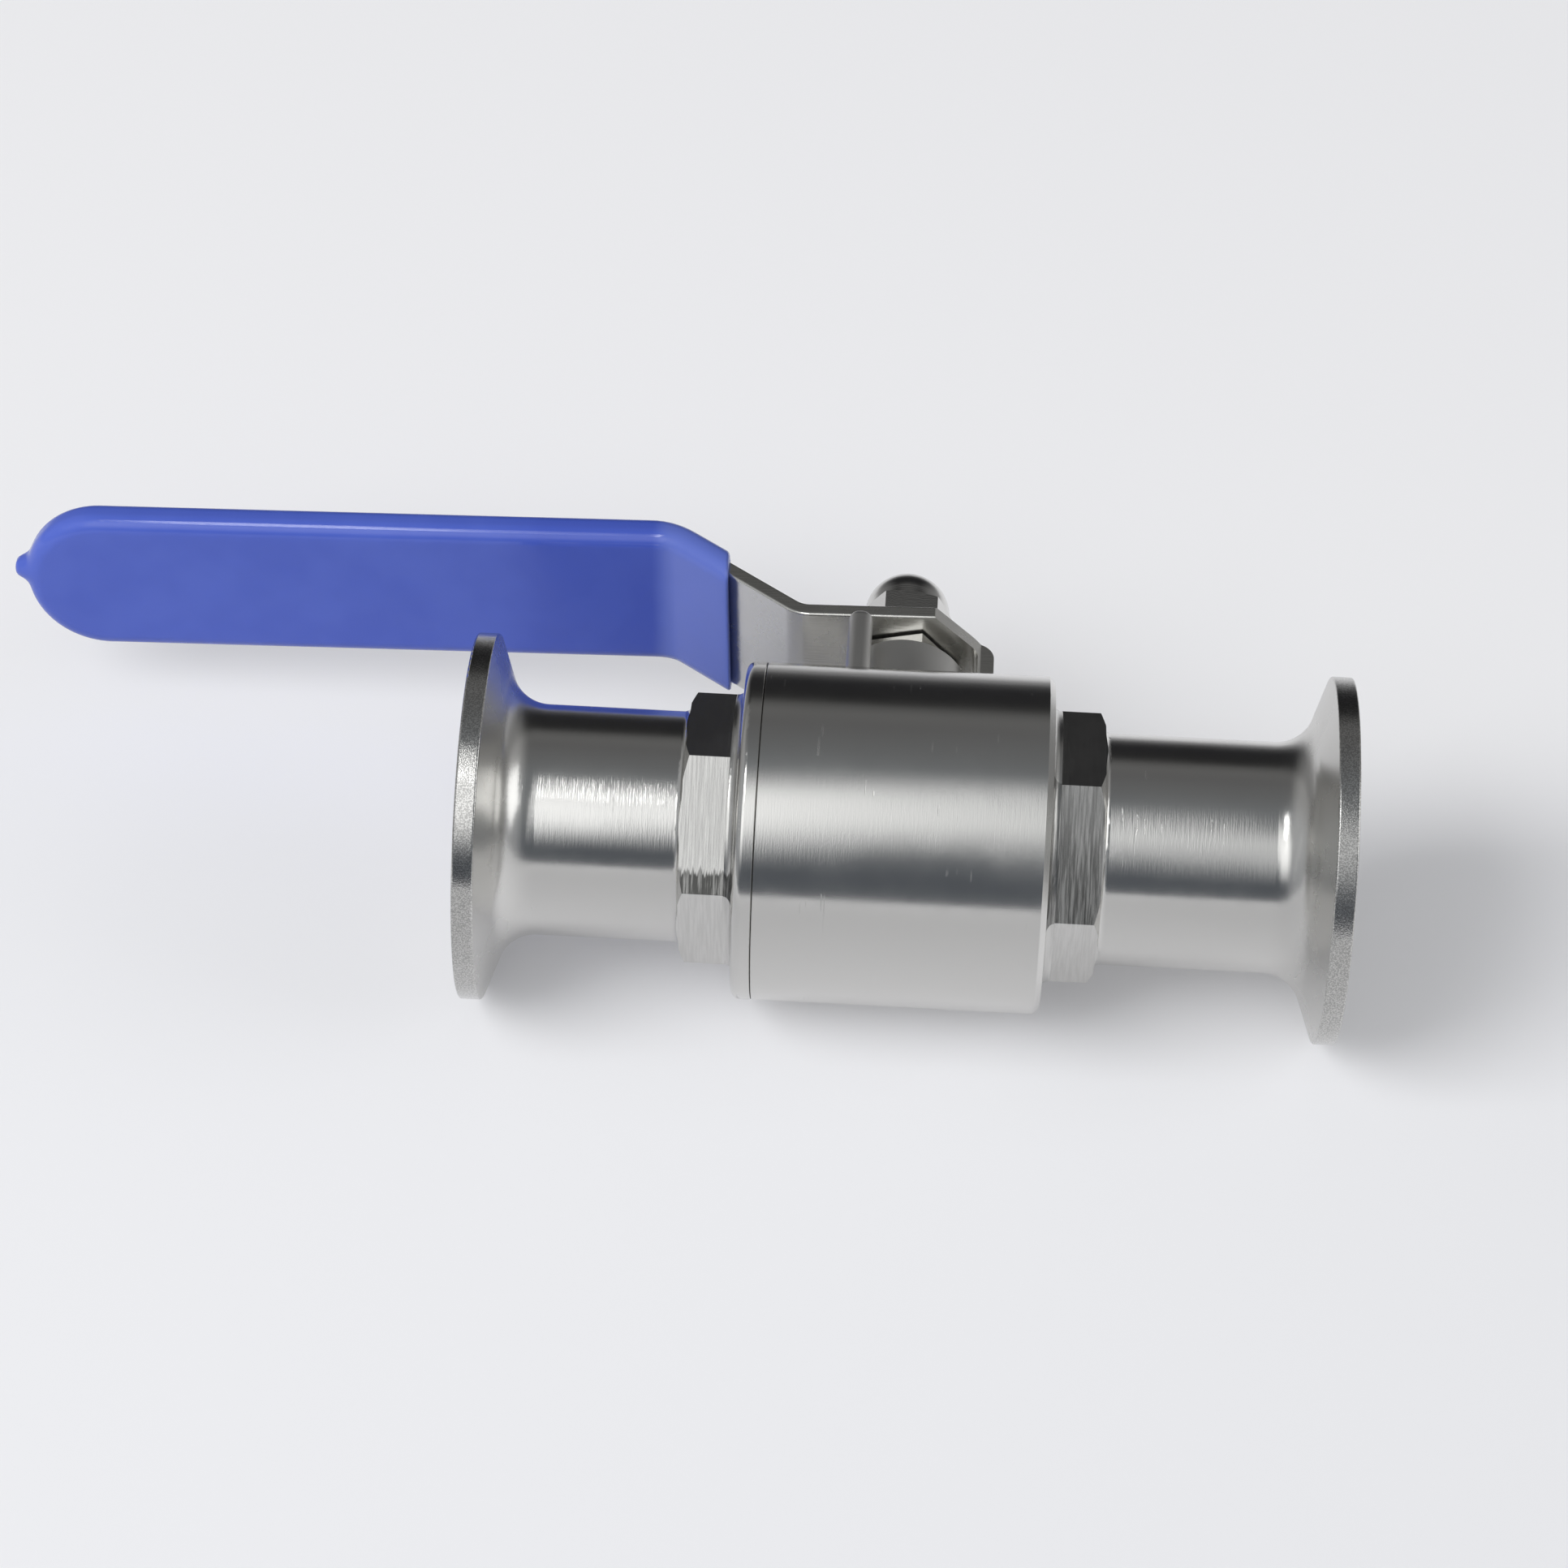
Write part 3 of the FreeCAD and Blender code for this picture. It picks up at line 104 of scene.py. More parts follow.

# Colours that the finishes mix in, as sRGB hex values.
# The darker steel that the painted reflection of flats and rim specks and the painted shade of two flats mix
# towards.
PAINTED_SHADE_STEEL = "5A5A58"
SEAM_SHADE = "3A3937"
SHEET_SHADES = ("DEDDD8", "E8E7E2")
WIRE_COLOUR = "B4B4B4"
FLUOROPLASTIC_COLOUR = "EDEDE8"
RUBBER_COLOUR = "1C1C1D"
# The paler blue of the painted light on the sleeve's slope.
PAINTED_LIGHT_ON_SLOPE_COLOUR = "6A7DD0"
ROOM_COLOUR = "E9EAED"

# Nearly all of a noise lies between these two.
SPREAD = (0.3, 0.7)
# How a Map Range node goes from one number to another.
EASED = {"interpolation_type": "SMOOTHSTEP"}

# How finely the sleeve is divided: along a side, round a corner, across the end, round an edge,
# across the crown and round the lip.
SIDE_STEPS = 110
CORNER_STEPS = 56
END_STEPS = 4
EDGE_STEPS = 14
CROWN_STEPS = 18
LIP_STEPS = 8
# Steps in the bend of the line that the sleeve follows, and how far the line runs on past its end.
BEND_STEPS = 40
SPARE_LINE = 10 * MM
# The sleeve's sections turn from the slant of its mouth to square over this run.
LEAN_RUN = 7 * MM
# How steeply the drip rises, and the share of the end's rounding over which it pulls in full.
DRIP_POWER = 6
DRIP_FULL = 0.4
# Points of the sleeve's mesh that are nearer than the first merge; shorter edges than the second go.
MERGE_DISTANCE = 0.002 * MM
SHORTEST_EDGE = 0.001 * MM

# The camera: where it stands, and its right, down and forward directions.
CAMERA_PLACE = (3.146 * MM, -456.518 * MM, -490.181 * MM)
CAMERA_RIGHT = (0.99823231, -0.01997553, 0.0559753)
CAMERA_DOWN = (0.05247487, 0.73842488, -0.67229092)
CAMERA_FORWARD = (-0.02790418, 0.67403982, 0.73816779)

# What the inside of the tent gives off, by angle round the flow axis from the camera's side, in
# degrees towards the stem's foot and back. Each row is an angle and a linear colour.
TENT_LEVELS = (
    (-60, (0.34, 0.35, 0.37)),
    (-46, (0.17, 0.175, 0.19)),
    (-37, (0.11, 0.12, 0.135)),
    (-28, (0.092, 0.102, 0.117)),
    (-18, (0.11, 0.12, 0.135)),
    (10, (0.16, 0.17, 0.18)),
    (45, (0.18, 0.19, 0.20)),
    (60, (0.155, 0.16, 0.165)),
    (80, (0.132, 0.132, 0.134)),
    (91, (0.15, 0.15, 0.15)),
    (97, (0.115, 0.115, 0.115)),
    (103, (0.035, 0.035, 0.035)),
    (109, (0.022, 0.022, 0.023)),
    (126, (0.022, 0.022, 0.024)),
    (133, (0.05, 0.05, 0.052)),
    (141, (0.14, 0.14, 0.145)),
)
# The sheer window in the tent. Round the axis it opens and closes at these degrees from its
# middle line, which slants: it goes from the first angle to the second between two places along
# the axis, and then back to the third. Along the axis its level has these steps.
WINDOW_ROUND = (-35, -5, 7, 28)
WINDOW_LINE = (5, 22, 4)
WINDOW_SLANTS = ((-8, 2), (2.5, 6))
WINDOW_STEPS = ((-36, -22, 0.0, 1.0), (-2.9, -1.4, 1.0, 0.66), (1.5, 4, 1.0, 0.68), (8, 18, 1.0, 0.0))
# Where the lamps hang: angle along the axis and angle round it from the camera's side, in degrees.
LEFT_DIRECTION = (-38, 15)
RIGHT_DIRECTION = (58, 34)
# Their width and height in metres.
LEFT_LAMP_SIZE = (0.7, 0.7)
LEFT_SCREEN_SIZE = (0.72, 0.7)
RIGHT_LAMP_SIZE = (0.66, 0.74)
# The strip light beside the window, in two parts: angle along the axis, width in metres and share
# of its level. Both hang at the same angle round the axis and have the same height.
STRIP_PARTS = ((-10.6, 0.07, 0.25), (-15.2, 0.105, 1.0))
STRIP_ROUND = 32
STRIP_HEIGHT = 0.38

# The paper reaches this far, and fades out for the camera between two distances from its middle.
# For gloss it thins out along Z, from one place and share to another. Along Z its glow rises too,
# between two places and by a gain: painted light under the handle that lightens the handle's shadow.
PAPER_REACH = 1.35
PAPER_FADE = (0.45, 0.9)
PAPER_THINS = (0.05, 0.4, 0.0, 0.85)
PAINTED_LIGHT_RISE = (25 * MM, 60 * MM)
PAINTED_LIGHT_GAIN = 2.5
GLOW_STRENGTH = 0.93
# The tent's size, and between which angles from its middle its two ends light up, in degrees.
TENT_RADIUS = 1.4
TENT_END_ANGLES = (16, 44)


def linear(code):
    """Turns an sRGB hex value such as C9C9C8 into the linear colour that Blender's sockets take."""
    channels = [int(code[place : place + 2], 16) / 255 for place in (0, 2, 4)]
    mapped = [c / 12.92 if c <= 0.04045 else ((c + 0.055) / 1.055) ** 2.4 for c in channels]
    return (*mapped, 1.0)


def put(tree, kind, links=(), **settings):
    """Adds a node with its own settings, and gives its inputs values or other nodes' outputs.

    Links are a table by the names or numbers of the inputs, or plain values for the first ones.
    """
    node = tree.nodes.new(kind)
    for name, value in settings.items():
        setattr(node, name, value)
    table = links if isinstance(links, dict) else dict(enumerate(links))
    for name, value in table.items():
        socket = node.inputs[name]
        if isinstance(value, bpy.types.NodeSocket):
            tree.links.new(value, socket)
        else:
            socket.default_value = value
    return node


def new_material(name):
    """An empty node material and its tree."""
    material = bpy.data.materials.new(name)
    material.use_nodes = True
    material.node_tree.nodes.clear()
    return material, material.node_tree


def place_on_object(tree):
    """Object coordinates, whole and as their three parts."""
    vector = put(tree, "ShaderNodeTexCoord").outputs["Object"]
    parts = put(tree, "ShaderNodeSeparateXYZ", (vector,)).outputs
    return vector, parts[0], parts[1], parts[2]


def distance_from_axis(tree, one, other):
    """The distance from an axis, out of the two coordinates across it."""
    squares = []
    for value in (one, other):
        square = put(tree, "ShaderNodeMath", (value, value), operation="MULTIPLY").outputs[0]
        squares.append(square)
    total = put(tree, "ShaderNodeMath", squares, operation="ADD").outputs[0]
    return put(tree, "ShaderNodeMath", (total,), operation="SQRT").outputs[0]


def spots(tree, vector, size, detail, dimensions="3D"):
    """Soft spots from 0 to 1, of about one size in metres."""
    links = {"Vector": vector, "Scale": 1 / size, "Detail": detail, "Roughness": 0.6}
    return put(tree, "ShaderNodeTexNoise", links, noise_dimensions=dimensions).outputs[0]


def turning_marks(tree, along, one, other, pitch):
    """Tool lines of a lathe: spots on the distance along an axis and the distance from it."""
    radius = distance_from_axis(tree, one, other)
    flat = put(tree, "ShaderNodeCombineXYZ", (along, radius)).outputs[0]
    return spots(tree, flat, pitch, 2.0, "2D"), radius


def brush_marks(tree, vector, pitches, detail=2.0):
    """Short parallel lines: spots drawn out by their own size along X, Y and Z, in metres."""
    scales = tuple(1 / pitch for pitch in pitches)
    drawn = put(tree, "ShaderNodeVectorMath", (vector, scales), operation="MULTIPLY").outputs[0]
    return spots(tree, drawn, 1.0, detail)


def along_the_lever(tree, x, y, z, share):
    """Coordinates that draw a pattern out along the lever, because X counts for only a share."""
    less = put(tree, "ShaderNodeMath", (x, share), operation="MULTIPLY").outputs[0]
    return put(tree, "ShaderNodeCombineXYZ", (less, y, z)).outputs[0]


def opening(tree, value, edges):
    """1 between the middle two edges, 0 outside the outer two, and smooth between them."""
    rise = put(tree, "ShaderNodeMapRange", (value, *edges[:2], 0.0, 1.0), **EASED).outputs[0]
    fall = put(tree, "ShaderNodeMapRange", (value, *edges[2:], 1.0, 0.0), **EASED).outputs[0]
    return put(tree, "ShaderNodeMath", (rise, fall), operation="MULTIPLY").outputs[0]


def steel(tree, colour, roughness, height, depth):
    """Ends a material as bare metal; its bump's height runs from 0 to 1 and depth is how deep 1 is."""
    bump = put(tree, "ShaderNodeBump", {"Strength": 1.0, "Distance": depth, "Height": height})
    links = {"Base Color": colour, "Metallic": 1.0, "Roughness": roughness, "Normal": bump.outputs[0]}
    shader = put(tree, "ShaderNodeBsdfPrincipled", links)
    put(tree, "ShaderNodeOutputMaterial", {"Surface": shader.outputs[0]})


def zones_of_body_and_cap(tree, x, radius):
    """The zones of body and end cap, each 1 on its own surface and 0 elsewhere.

    They go by the place along the flow axis and the distance from it: the hexagons' flats, the
    flanges with their rims and cones, what lies between the flanges with its barrel and necks,
    the cast bosses that stand out of the barrel, and the seam.
    """
    zones = {"one": 1.0}
    ranges = {
        "on_body": ((BARREL_END + BODY_HEX_END) / 2, (BODY_HEX_END - BARREL_END) / 2),
        "on_cap": ((DISC_BACK + CAP_HEX_END) / 2, (DISC_BACK - CAP_HEX_END) / 2),
        "at_seam": (SEAM, SEAM_HALF_WIDTH),
    }
    for name, (middle, half) in ranges.items():
        zones[name] = put(tree, "ShaderNodeMath", (x, middle, half), operation="COMPARE").outputs[0]
    limits = {
        "under_barrel": ("LESS_THAN", HEX_LIMIT_RADIUS),
        "past_cone": ("GREATER_THAN", RIM_RADIUS),
        "past_neck": ("GREATER_THAN", NECK_LIMIT_RADIUS),
        "past_barrel": ("GREATER_THAN", BARREL_RADIUS + SKIN),
        "past_groove": ("GREATER_THAN", SEAM_LIMIT_RADIUS),
    }
    for name, (test, limit) in limits.items():
        zones[name] = put(tree, "ShaderNodeMath", (radius, limit), operation=test).outputs[0]
    left, right = NECK_ENDS
    ends = {
        "left_end": (x, left - CONE_RUN, left, 1.0, 0.0),
        "right_end": (x, right, right + CONE_RUN, 0.0, 1.0),
    }
    for name, links in ends.items():
        zones[name] = put(tree, "ShaderNodeMapRange", links, **EASED).outputs[0]
    sums = (
        ("hexagons", "MAXIMUM", "on_body", "on_cap"),
        ("flats", "MULTIPLY", "hexagons", "under_barrel"),
        ("flanges", "MAXIMUM", "left_end", "right_end"),
        ("rims", "MULTIPLY", "flanges", "past_cone"),
        ("cones", "SUBTRACT", "flanges", "rims"),
        ("between", "SUBTRACT", "one", "flanges"),
        ("barrel", "MULTIPLY", "past_neck", "between"),
        ("worked", "ADD", "barrel", "flats"),
        ("necks", "SUBTRACT", "between", "worked"),
        ("cast", "MULTIPLY", "past_barrel", "between"),
        ("seam", "MULTIPLY", "at_seam", "past_groove"),
        ("smooth", "SUBTRACT", "between", "flats"),
    )
    for name, operation, first, second in sums:
        links = (zones[first], zones[second])
        zones[name] = put(tree, "ShaderNodeMath", links, operation=operation).outputs[0]
    return zones


def handling_scratches(tree, vector, zones):
    """Scratches from handling: short thin lines, in patches, everywhere but on the ground flats."""
    lines = brush_marks(tree, vector, (0.28 * MM, 5 * MM, 5 * MM), 0.0)
    deep = put(tree, "ShaderNodeMapRange", (lines, 0.74, 0.8, 0.0, 1.0), **EASED).outputs[0]
    patches = spots(tree, vector, 7 * MM, 1.0)
    where = put(tree, "ShaderNodeMapRange", (patches, 0.58, 0.64, 0.0, 1.0), **EASED).outputs[0]
    where = put(tree, "ShaderNodeMath", (where, zones["smooth"]), operation="MULTIPLY").outputs[0]
    return put(tree, "ShaderNodeMath", (deep, where), operation="MULTIPLY").outputs[0]


def one_flat(tree, y, z, facing):
    """1 on the flat of a hexagon that faces one way, and the distance along it from its middle."""
    face_y, face_z = facing
    part = put(tree, "ShaderNodeMath", (z, face_z), operation="MULTIPLY").outputs[0]
    out = put(tree, "ShaderNodeMath", (y, face_y, part), operation="MULTIPLY_ADD").outputs[0]
    part = put(tree, "ShaderNodeMath", (y, -face_z), operation="MULTIPLY").outputs[0]
    side = put(tree, "ShaderNodeMath", (z, face_y, part), operation="MULTIPLY_ADD").outputs[0]
    return put(tree, "ShaderNodeMath", (out, HEX_HALF - SKIN), operation="GREATER_THAN").outputs[0], side


def shaded_flats(tree, y, z, ground, zones):
    """How dark the two odd flats are painted: the body's all over, as painted shade that darkens
    across it, the cap's on a frayed strip at one edge.
    """
    body_face, body_side = one_flat(tree, y, z, BODY_SHADED_FLAT)
    cap_face, cap_side = one_flat(tree, y, z, CAP_SHADED_FLAT)
    # Painted shade that darkens across the body's flat; on the cap's flat, a darker frayed strip at one edge.
    painted_shade_across = put(tree, "ShaderNodeMapRange", (body_side, *BODY_PAINTED_SHADE), **EASED).outputs[0]
    fray = put(tree, "ShaderNodeMath", (ground, 0.5), operation="SUBTRACT").outputs[0]
    fringe = put(tree, "ShaderNodeMath", (fray, 5 * MM, cap_side), operation="MULTIPLY_ADD").outputs[0]
    low_edge = put(tree, "ShaderNodeMapRange", (fringe, *CAP_DARK_EDGE), **EASED).outputs[0]
    shares = []
    for share, hexagon, face in ((painted_shade_across, "on_body", body_face), (low_edge, "on_cap", cap_face)):
        place = put(tree, "ShaderNodeMath", (zones[hexagon], face), operation="MULTIPLY").outputs[0]
        shares.append(put(tree, "ShaderNodeMath", (share, place), operation="MULTIPLY").outputs[0])
    both = put(tree, "ShaderNodeMath", shares, operation="ADD").outputs[0]
    return put(tree, "ShaderNodeMath", (both, zones["flats"]), operation="MULTIPLY").outputs[0]


def marked_height(tree, marks, zones):
    """Height of the marks on every zone, patchy as handwork is, with the scratches cut into it."""
    height = 0.0
    for mark, zone, depth in ZONE_MARKS:
        level = put(tree, "ShaderNodeMath", (marks[mark], 0.5), operation="SUBTRACT").outputs[0]
        level = put(tree, "ShaderNodeMath", (level, depth), operation="MULTIPLY").outputs[0]
        links = (level, zones[zone], height)
        height = put(tree, "ShaderNodeMath", links, operation="MULTIPLY_ADD").outputs[0]
    links = (marks["cloud"], 0.35, 0.65, 0.5, 1.3)
    patchy = put(tree, "ShaderNodeMapRange", links, **EASED).outputs[0]
    height = put(tree, "ShaderNodeMath", (height, patchy), operation="MULTIPLY").outputs[0]
    links = (zones["scratches"], SCRATCH_DEPTH, height)
    return put(tree, "ShaderNodeMath", links, operation="MULTIPLY_ADD").outputs[0]


def zone_roughness(tree, cloud, zones, plain):
    """The plain roughness of a turned surface, slightly cloudy, with what each zone adds to it."""
    cloudy = put(tree, "ShaderNodeMapRange", (cloud, *SPREAD, -0.02, 0.02), **EASED).outputs[0]
    rough = put(tree, "ShaderNodeMath", (cloudy, plain), operation="ADD").outputs[0]
    for zone, more in ZONE_BLURS:
        links = (zones[zone], more, rough)
        rough = put(tree, "ShaderNodeMath", links, operation="MULTIPLY_ADD").outputs[0]
    return rough


def zone_colour(tree, marks, zones, flat_shade, colour):
    """Steel with painted reflection and painted shade: darker streaks along the grinding lines of
    the flats and darker specks on the rims as painted reflection, the two odd flats darker still,
    and a dark seam.
    """
    # Painted reflection: darker streaks along the grinding lines of the flats, and below, darker specks on
    # the rims.
    links = (marks["ground"], 0.34, 0.66, 1.0, 0.0)
    streaks = put(tree, "ShaderNodeMapRange", links, **EASED).outputs[0]
    painted_shade_share = put(tree, "ShaderNodeMath", (streaks, 0.5, 0.5), operation="MULTIPLY_ADD").outputs[0]
    painted_shade_share = put(tree, "ShaderNodeMath", (painted_shade_share, flat_shade), operation="MULTIPLY").outputs[0]
    fine = put(tree, "ShaderNodeMath", (streaks, zones["flats"]), operation="MULTIPLY").outputs[0]
    painted_shade_share = put(tree, "ShaderNodeMath", (fine, 0.12, painted_shade_share), operation="MULTIPLY_ADD").outputs[0]
    specks = put(tree, "ShaderNodeMapRange", (marks["grain"], 0.42, 0.6, 1.0, 0.0), **EASED).outputs[0]
    specks = put(tree, "ShaderNodeMath", (specks, zones["rims"]), operation="MULTIPLY").outputs[0]
    painted_shade_share = put(tree, "ShaderNodeMath", (specks, 0.4, painted_shade_share), operation="MULTIPLY_ADD").outputs[0]
    for share, shade in ((painted_shade_share, PAINTED_SHADE_STEEL), (zones["seam"], SEAM_SHADE)):
        mix = {0: share, 6: colour, 7: linear(shade)}
        colour = put(tree, "ShaderNodeMix", mix, data_type="RGBA").outputs[2]
    return colour


def turned_and_ground_stainless(finish):
    """Bar stock turned on a lathe, polished on its barrel, brushed on its necks and ground on its flats.

    That gives the eye clean bands of light along the barrel, short lines round the necks that
    sparkle in the highlight, faint rings on the cones of the flanges and specks on their rims, a
    grain on the spanner flats, a matt skin on the cast bosses, a dark seam and a few handling
    scratches. The grain of the flats and the specks of the rims are darkened in colour as painted
    reflection, and two flats that face the camera's side are painted darker: the body's with
    painted shade across it, the cap's in a strip at one edge. The lines are drawn at about twice
    the pitch of real ones, so that they show.
    """
    material, tree = new_material("turned and ground stainless steel")
    vector, x, y, z = place_on_object(tree)
    rings, radius = turning_marks(tree, x, y, z, finish.ring_pitch)
    marks = {
        "rings": rings,
        "brushed": brush_marks(tree, vector, (finish.ring_pitch, 3 * MM, 3 * MM)),
        "ground": brush_marks(tree, vector, (finish.grain_pitch, 7 * MM, 7 * MM), 3.0),
        "grain": spots(tree, vector, finish.ring_pitch, 1.0),
        "cloud": spots(tree, vector, 9 * MM, 3.0),
    }
    zones = zones_of_body_and_cap(tree, x, radius)
    zones["scratches"] = handling_scratches(tree, vector, zones)
    # How much darker the two odd flats are painted: painted shade on the body's, a dark strip on the cap's.
    flat_shade = shaded_flats(tree, y, z, marks["ground"], zones)
    height = marked_height(tree, marks, zones)
    rough = zone_roughness(tree, marks["cloud"], zones, finish.turned_roughness)
    colour = zone_colour(tree, marks, zones, flat_shade, tuple(finish.steel_colour))
    steel(tree, colour, rough, height, finish.mark_depth)
    return material


def turned_stainless(finish):
    """Small parts turned about the stem: a tight ring pattern on a bright ground."""
    material, tree = new_material("turned stainless steel")
    vector, x, y, z = place_on_object(tree)
    rings, _ = turning_marks(tree, z, x, y, finish.ring_pitch)
    cloud = spots(tree, vector, 4 * MM, 3.0)
    links = (cloud, *SPREAD, finish.turned_roughness - 0.06, finish.turned_roughness)
    rough = put(tree, "ShaderNodeMapRange", links, **EASED).outputs[0]
    steel(tree, tuple(finish.steel_colour), rough, rings, finish.mark_depth)
    return material


def polished_sheet_stainless(finish):
    """Cold rolled sheet, cut, bent and belt polished: a faint lengthwise grain and soft blurs."""
    material, tree = new_material("belt polished stainless sheet")
    vector, x, y, z = place_on_object(tree)
    grain = spots(tree, along_the_lever(tree, x, y, z, 0.03), finish.grain_pitch, 3.0)
    cloud = spots(tree, vector, 6 * MM, 3.0)
    links = (cloud, *SPREAD, finish.sheet_roughness - 0.04, finish.sheet_roughness + 0.04)
    rough = put(tree, "ShaderNodeMapRange", links, **EASED).outputs[0]
    mix = {0: grain, 6: linear(SHEET_SHADES[0]), 7: linear(SHEET_SHADES[1])}
    colour = put(tree, "ShaderNodeMix", mix, data_type="RGBA").outputs[2]
    steel(tree, colour, rough, grain, finish.mark_depth)
    return material


def mirror_polished_stainless(finish):
    """A lapped ball: nearly a mirror, with the least haze."""
    material, tree = new_material("lapped stainless steel")
    vector = place_on_object(tree)[0]
    cloud = spots(tree, vector, 5 * MM, 2.0)
    rough = put(tree, "ShaderNodeMapRange", (cloud, *SPREAD, 0.06, 0.1), **EASED).outputs[0]
    steel(tree, tuple(finish.steel_colour), rough, cloud, 0.002 * MM)
    return material


def spring_wire_stainless(finish):
    """Drawn wire, coiled and pressed: duller and slightly darker than the machined parts."""
    material, tree = new_material("drawn stainless spring wire")
    vector, x, y, z = place_on_object(tree)
    rings, _ = turning_marks(tree, z, x, y, finish.grain_pitch)
    speck = spots(tree, vector, 0.6 * MM, 3.0)
    rough = put(tree, "ShaderNodeMapRange", (speck, *SPREAD, 0.3, 0.42), **EASED).outputs[0]
    steel(tree, linear(WIRE_COLOUR), rough, rings, finish.mark_depth)
    return material


def plastic(tree, height, depth, links):
    """Ends a material as plastic or rubber, with a bump as deep as depth under its other inputs."""
    bump = put(tree, "ShaderNodeBump", {"Strength": 1.0, "Distance": depth, "Height": height})
    shader = put(tree, "ShaderNodeBsdfPrincipled", {**links, "Normal": bump.outputs[0]})
    put(tree, "ShaderNodeOutputMaterial", {"Surface": shader.outputs[0]})


def machined_fluoroplastic(finish):
    """White PTFE, turned from rod: waxy, slightly translucent, with faint tool rings."""
    material, tree = new_material("turned PTFE")
    vector, x, y, z = place_on_object(tree)
    rings, _ = turning_marks(tree, x, y, z, finish.grain_pitch)
    speck = spots(tree, vector, 2 * MM, 2.0)
    rough = put(tree, "ShaderNodeMapRange", (speck, *SPREAD, 0.42, 0.5), **EASED).outputs[0]
    links = {
        "Base Color": linear(FLUOROPLASTIC_COLOUR),
        "Roughness": rough,
        "IOR": 1.35,
        "Subsurface Weight": 0.1,
        "Subsurface Scale": 1 * MM,
    }
    plastic(tree, rings, 0.01 * MM, links)
    return material


def moulded_rubber(finish):
    """Black moulded rubber: dark and satin, with a fine matt grain."""
    material, tree = new_material("moulded black rubber")
    vector = place_on_object(tree)[0]
    grain = spots(tree, vector, 0.25 * MM, 2.0)
    rough = put(tree, "ShaderNodeMapRange", (grain, *SPREAD, 0.5, 0.65), **EASED).outputs[0]
    links = {"Base Color": linear(RUBBER_COLOUR), "Roughness": rough, "IOR": 1.52}
    plastic(tree, grain, 0.01 * MM, links)
    return material


def dipped_vinyl(finish):
    """Vinyl that the hot lever was dipped in: a glossy skin that ran slightly before it set.

    That gives the eye a long soft highlight on the rounded edges, shallow waves and small specks,
    and a deeper blue near the bend. The slope is painted a paler blue, as the light that falls on it.
    """
    material, tree = new_material("dipped blue vinyl")
    vector, x, y, z = place_on_object(tree)
    waves = spots(tree, along_the_lever(tree, x, y, z, 0.35), 7 * MM, 1.0)
    skin = spots(tree, vector, 0.5 * MM, 2.0)
    specks = put(tree, "ShaderNodeMath", (skin, 0.01), operation="MULTIPLY").outputs[0]
    height = put(tree, "ShaderNodeMath", (waves, specks), operation="ADD").outputs[0]
    cloud = spots(tree, vector, 12 * MM, 2.0)
    cloudy = put(tree, "ShaderNodeMapRange", (cloud, *SPREAD, 0.0, 0.5), **EASED).outputs[0]
    # A deeper blue near the bend, and in soft clouds all over.
    near_bend = opening(tree, x, DEEP_BLUE_NEAR_BEND)
    deep = put(tree, "ShaderNodeMath", (near_bend, 0.8, cloudy), operation="MULTIPLY_ADD").outputs[0]
    # Painted light: the sleeve turns a paler blue on the slope, where more light falls.
    on_slope = put(tree, "ShaderNodeMapRange", (x, *PAINTED_LIGHT_ON_SLOPE, 0.0, 1.0), **EASED).outputs[0]
    pale = put(tree, "ShaderNodeMath", (on_slope, 0.75), operation="MULTIPLY").outputs[0]
    colour = tuple(finish.vinyl_colour)
    for share, shade in ((deep, tuple(finish.vinyl_deep_blue)), (pale, linear(PAINTED_LIGHT_ON_SLOPE_COLOUR))):
        mix = {0: share, 6: colour, 7: shade}
        colour = put(tree, "ShaderNodeMix", mix, data_type="RGBA").outputs[2]
    links = (skin, *SPREAD, finish.vinyl_roughness, finish.vinyl_roughness + 0.06)
    rough = put(tree, "ShaderNodeMapRange", links, **EASED).outputs[0]
    plastic(tree, height, 0.12 * MM, {"Base Color": colour, "Roughness": rough, "IOR": 1.53})
    return material


def dress_nodes(finish, maker, *names):
    """Gives one finish to the named nodes of the frame."""
    material = maker(finish)
    for name in names:
        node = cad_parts[name]
        node.data.materials.clear()
        node.data.materials.append(material)


def ease(value, low, high):
    """0 before low, 1 after high and a smooth rise between them."""
    share = min(max((value - low) / (high - low), 0.0), 1.0)
    return share * share * (3 - 2 * share)


class SleeveShape:
    """The lever's middle line and the flat sections of the sleeve on it, in metres."""

    def __init__(self, sizes):
        self.sizes = sizes
        self.slope = sizes.crank_angle
        middle = sizes.strip_thickness / 2
        self.radius = sizes.bend_radius + middle
        self.level = sizes.handle_top - middle
        foot_level = sizes.head_top - middle / math.cos(self.slope)
        self.bend = -sizes.crank_start - (self.level - foot_level) / math.tan(self.slope)
        self.foot = -sizes.crank_start
        self.tangent = self.radius * math.tan(self.slope / 2)
        self.slope_run = (self.foot - self.bend) / math.cos(self.slope)
        self.arc_start = self.slope_run - self.tangent
        self.arc_end = self.arc_start + self.radius * self.slope
        self.foot_level = foot_level

    def run_on_slope(self, x):
        return (self.foot - x) / math.cos(self.slope)

    def run_on_handle(self, x):
        return self.arc_end + (self.bend - self.tangent - x)

    def points(self):
        """Foot, corner and far end of the middle line, before its bend is rounded."""
        foot = (self.foot, 0.0, self.foot_level)
        corner = (self.bend, 0.0, self.level)
        tail = (-self.sizes.sleeve_end - SPARE_LINE, 0.0, self.level)
        return foot, corner, tail


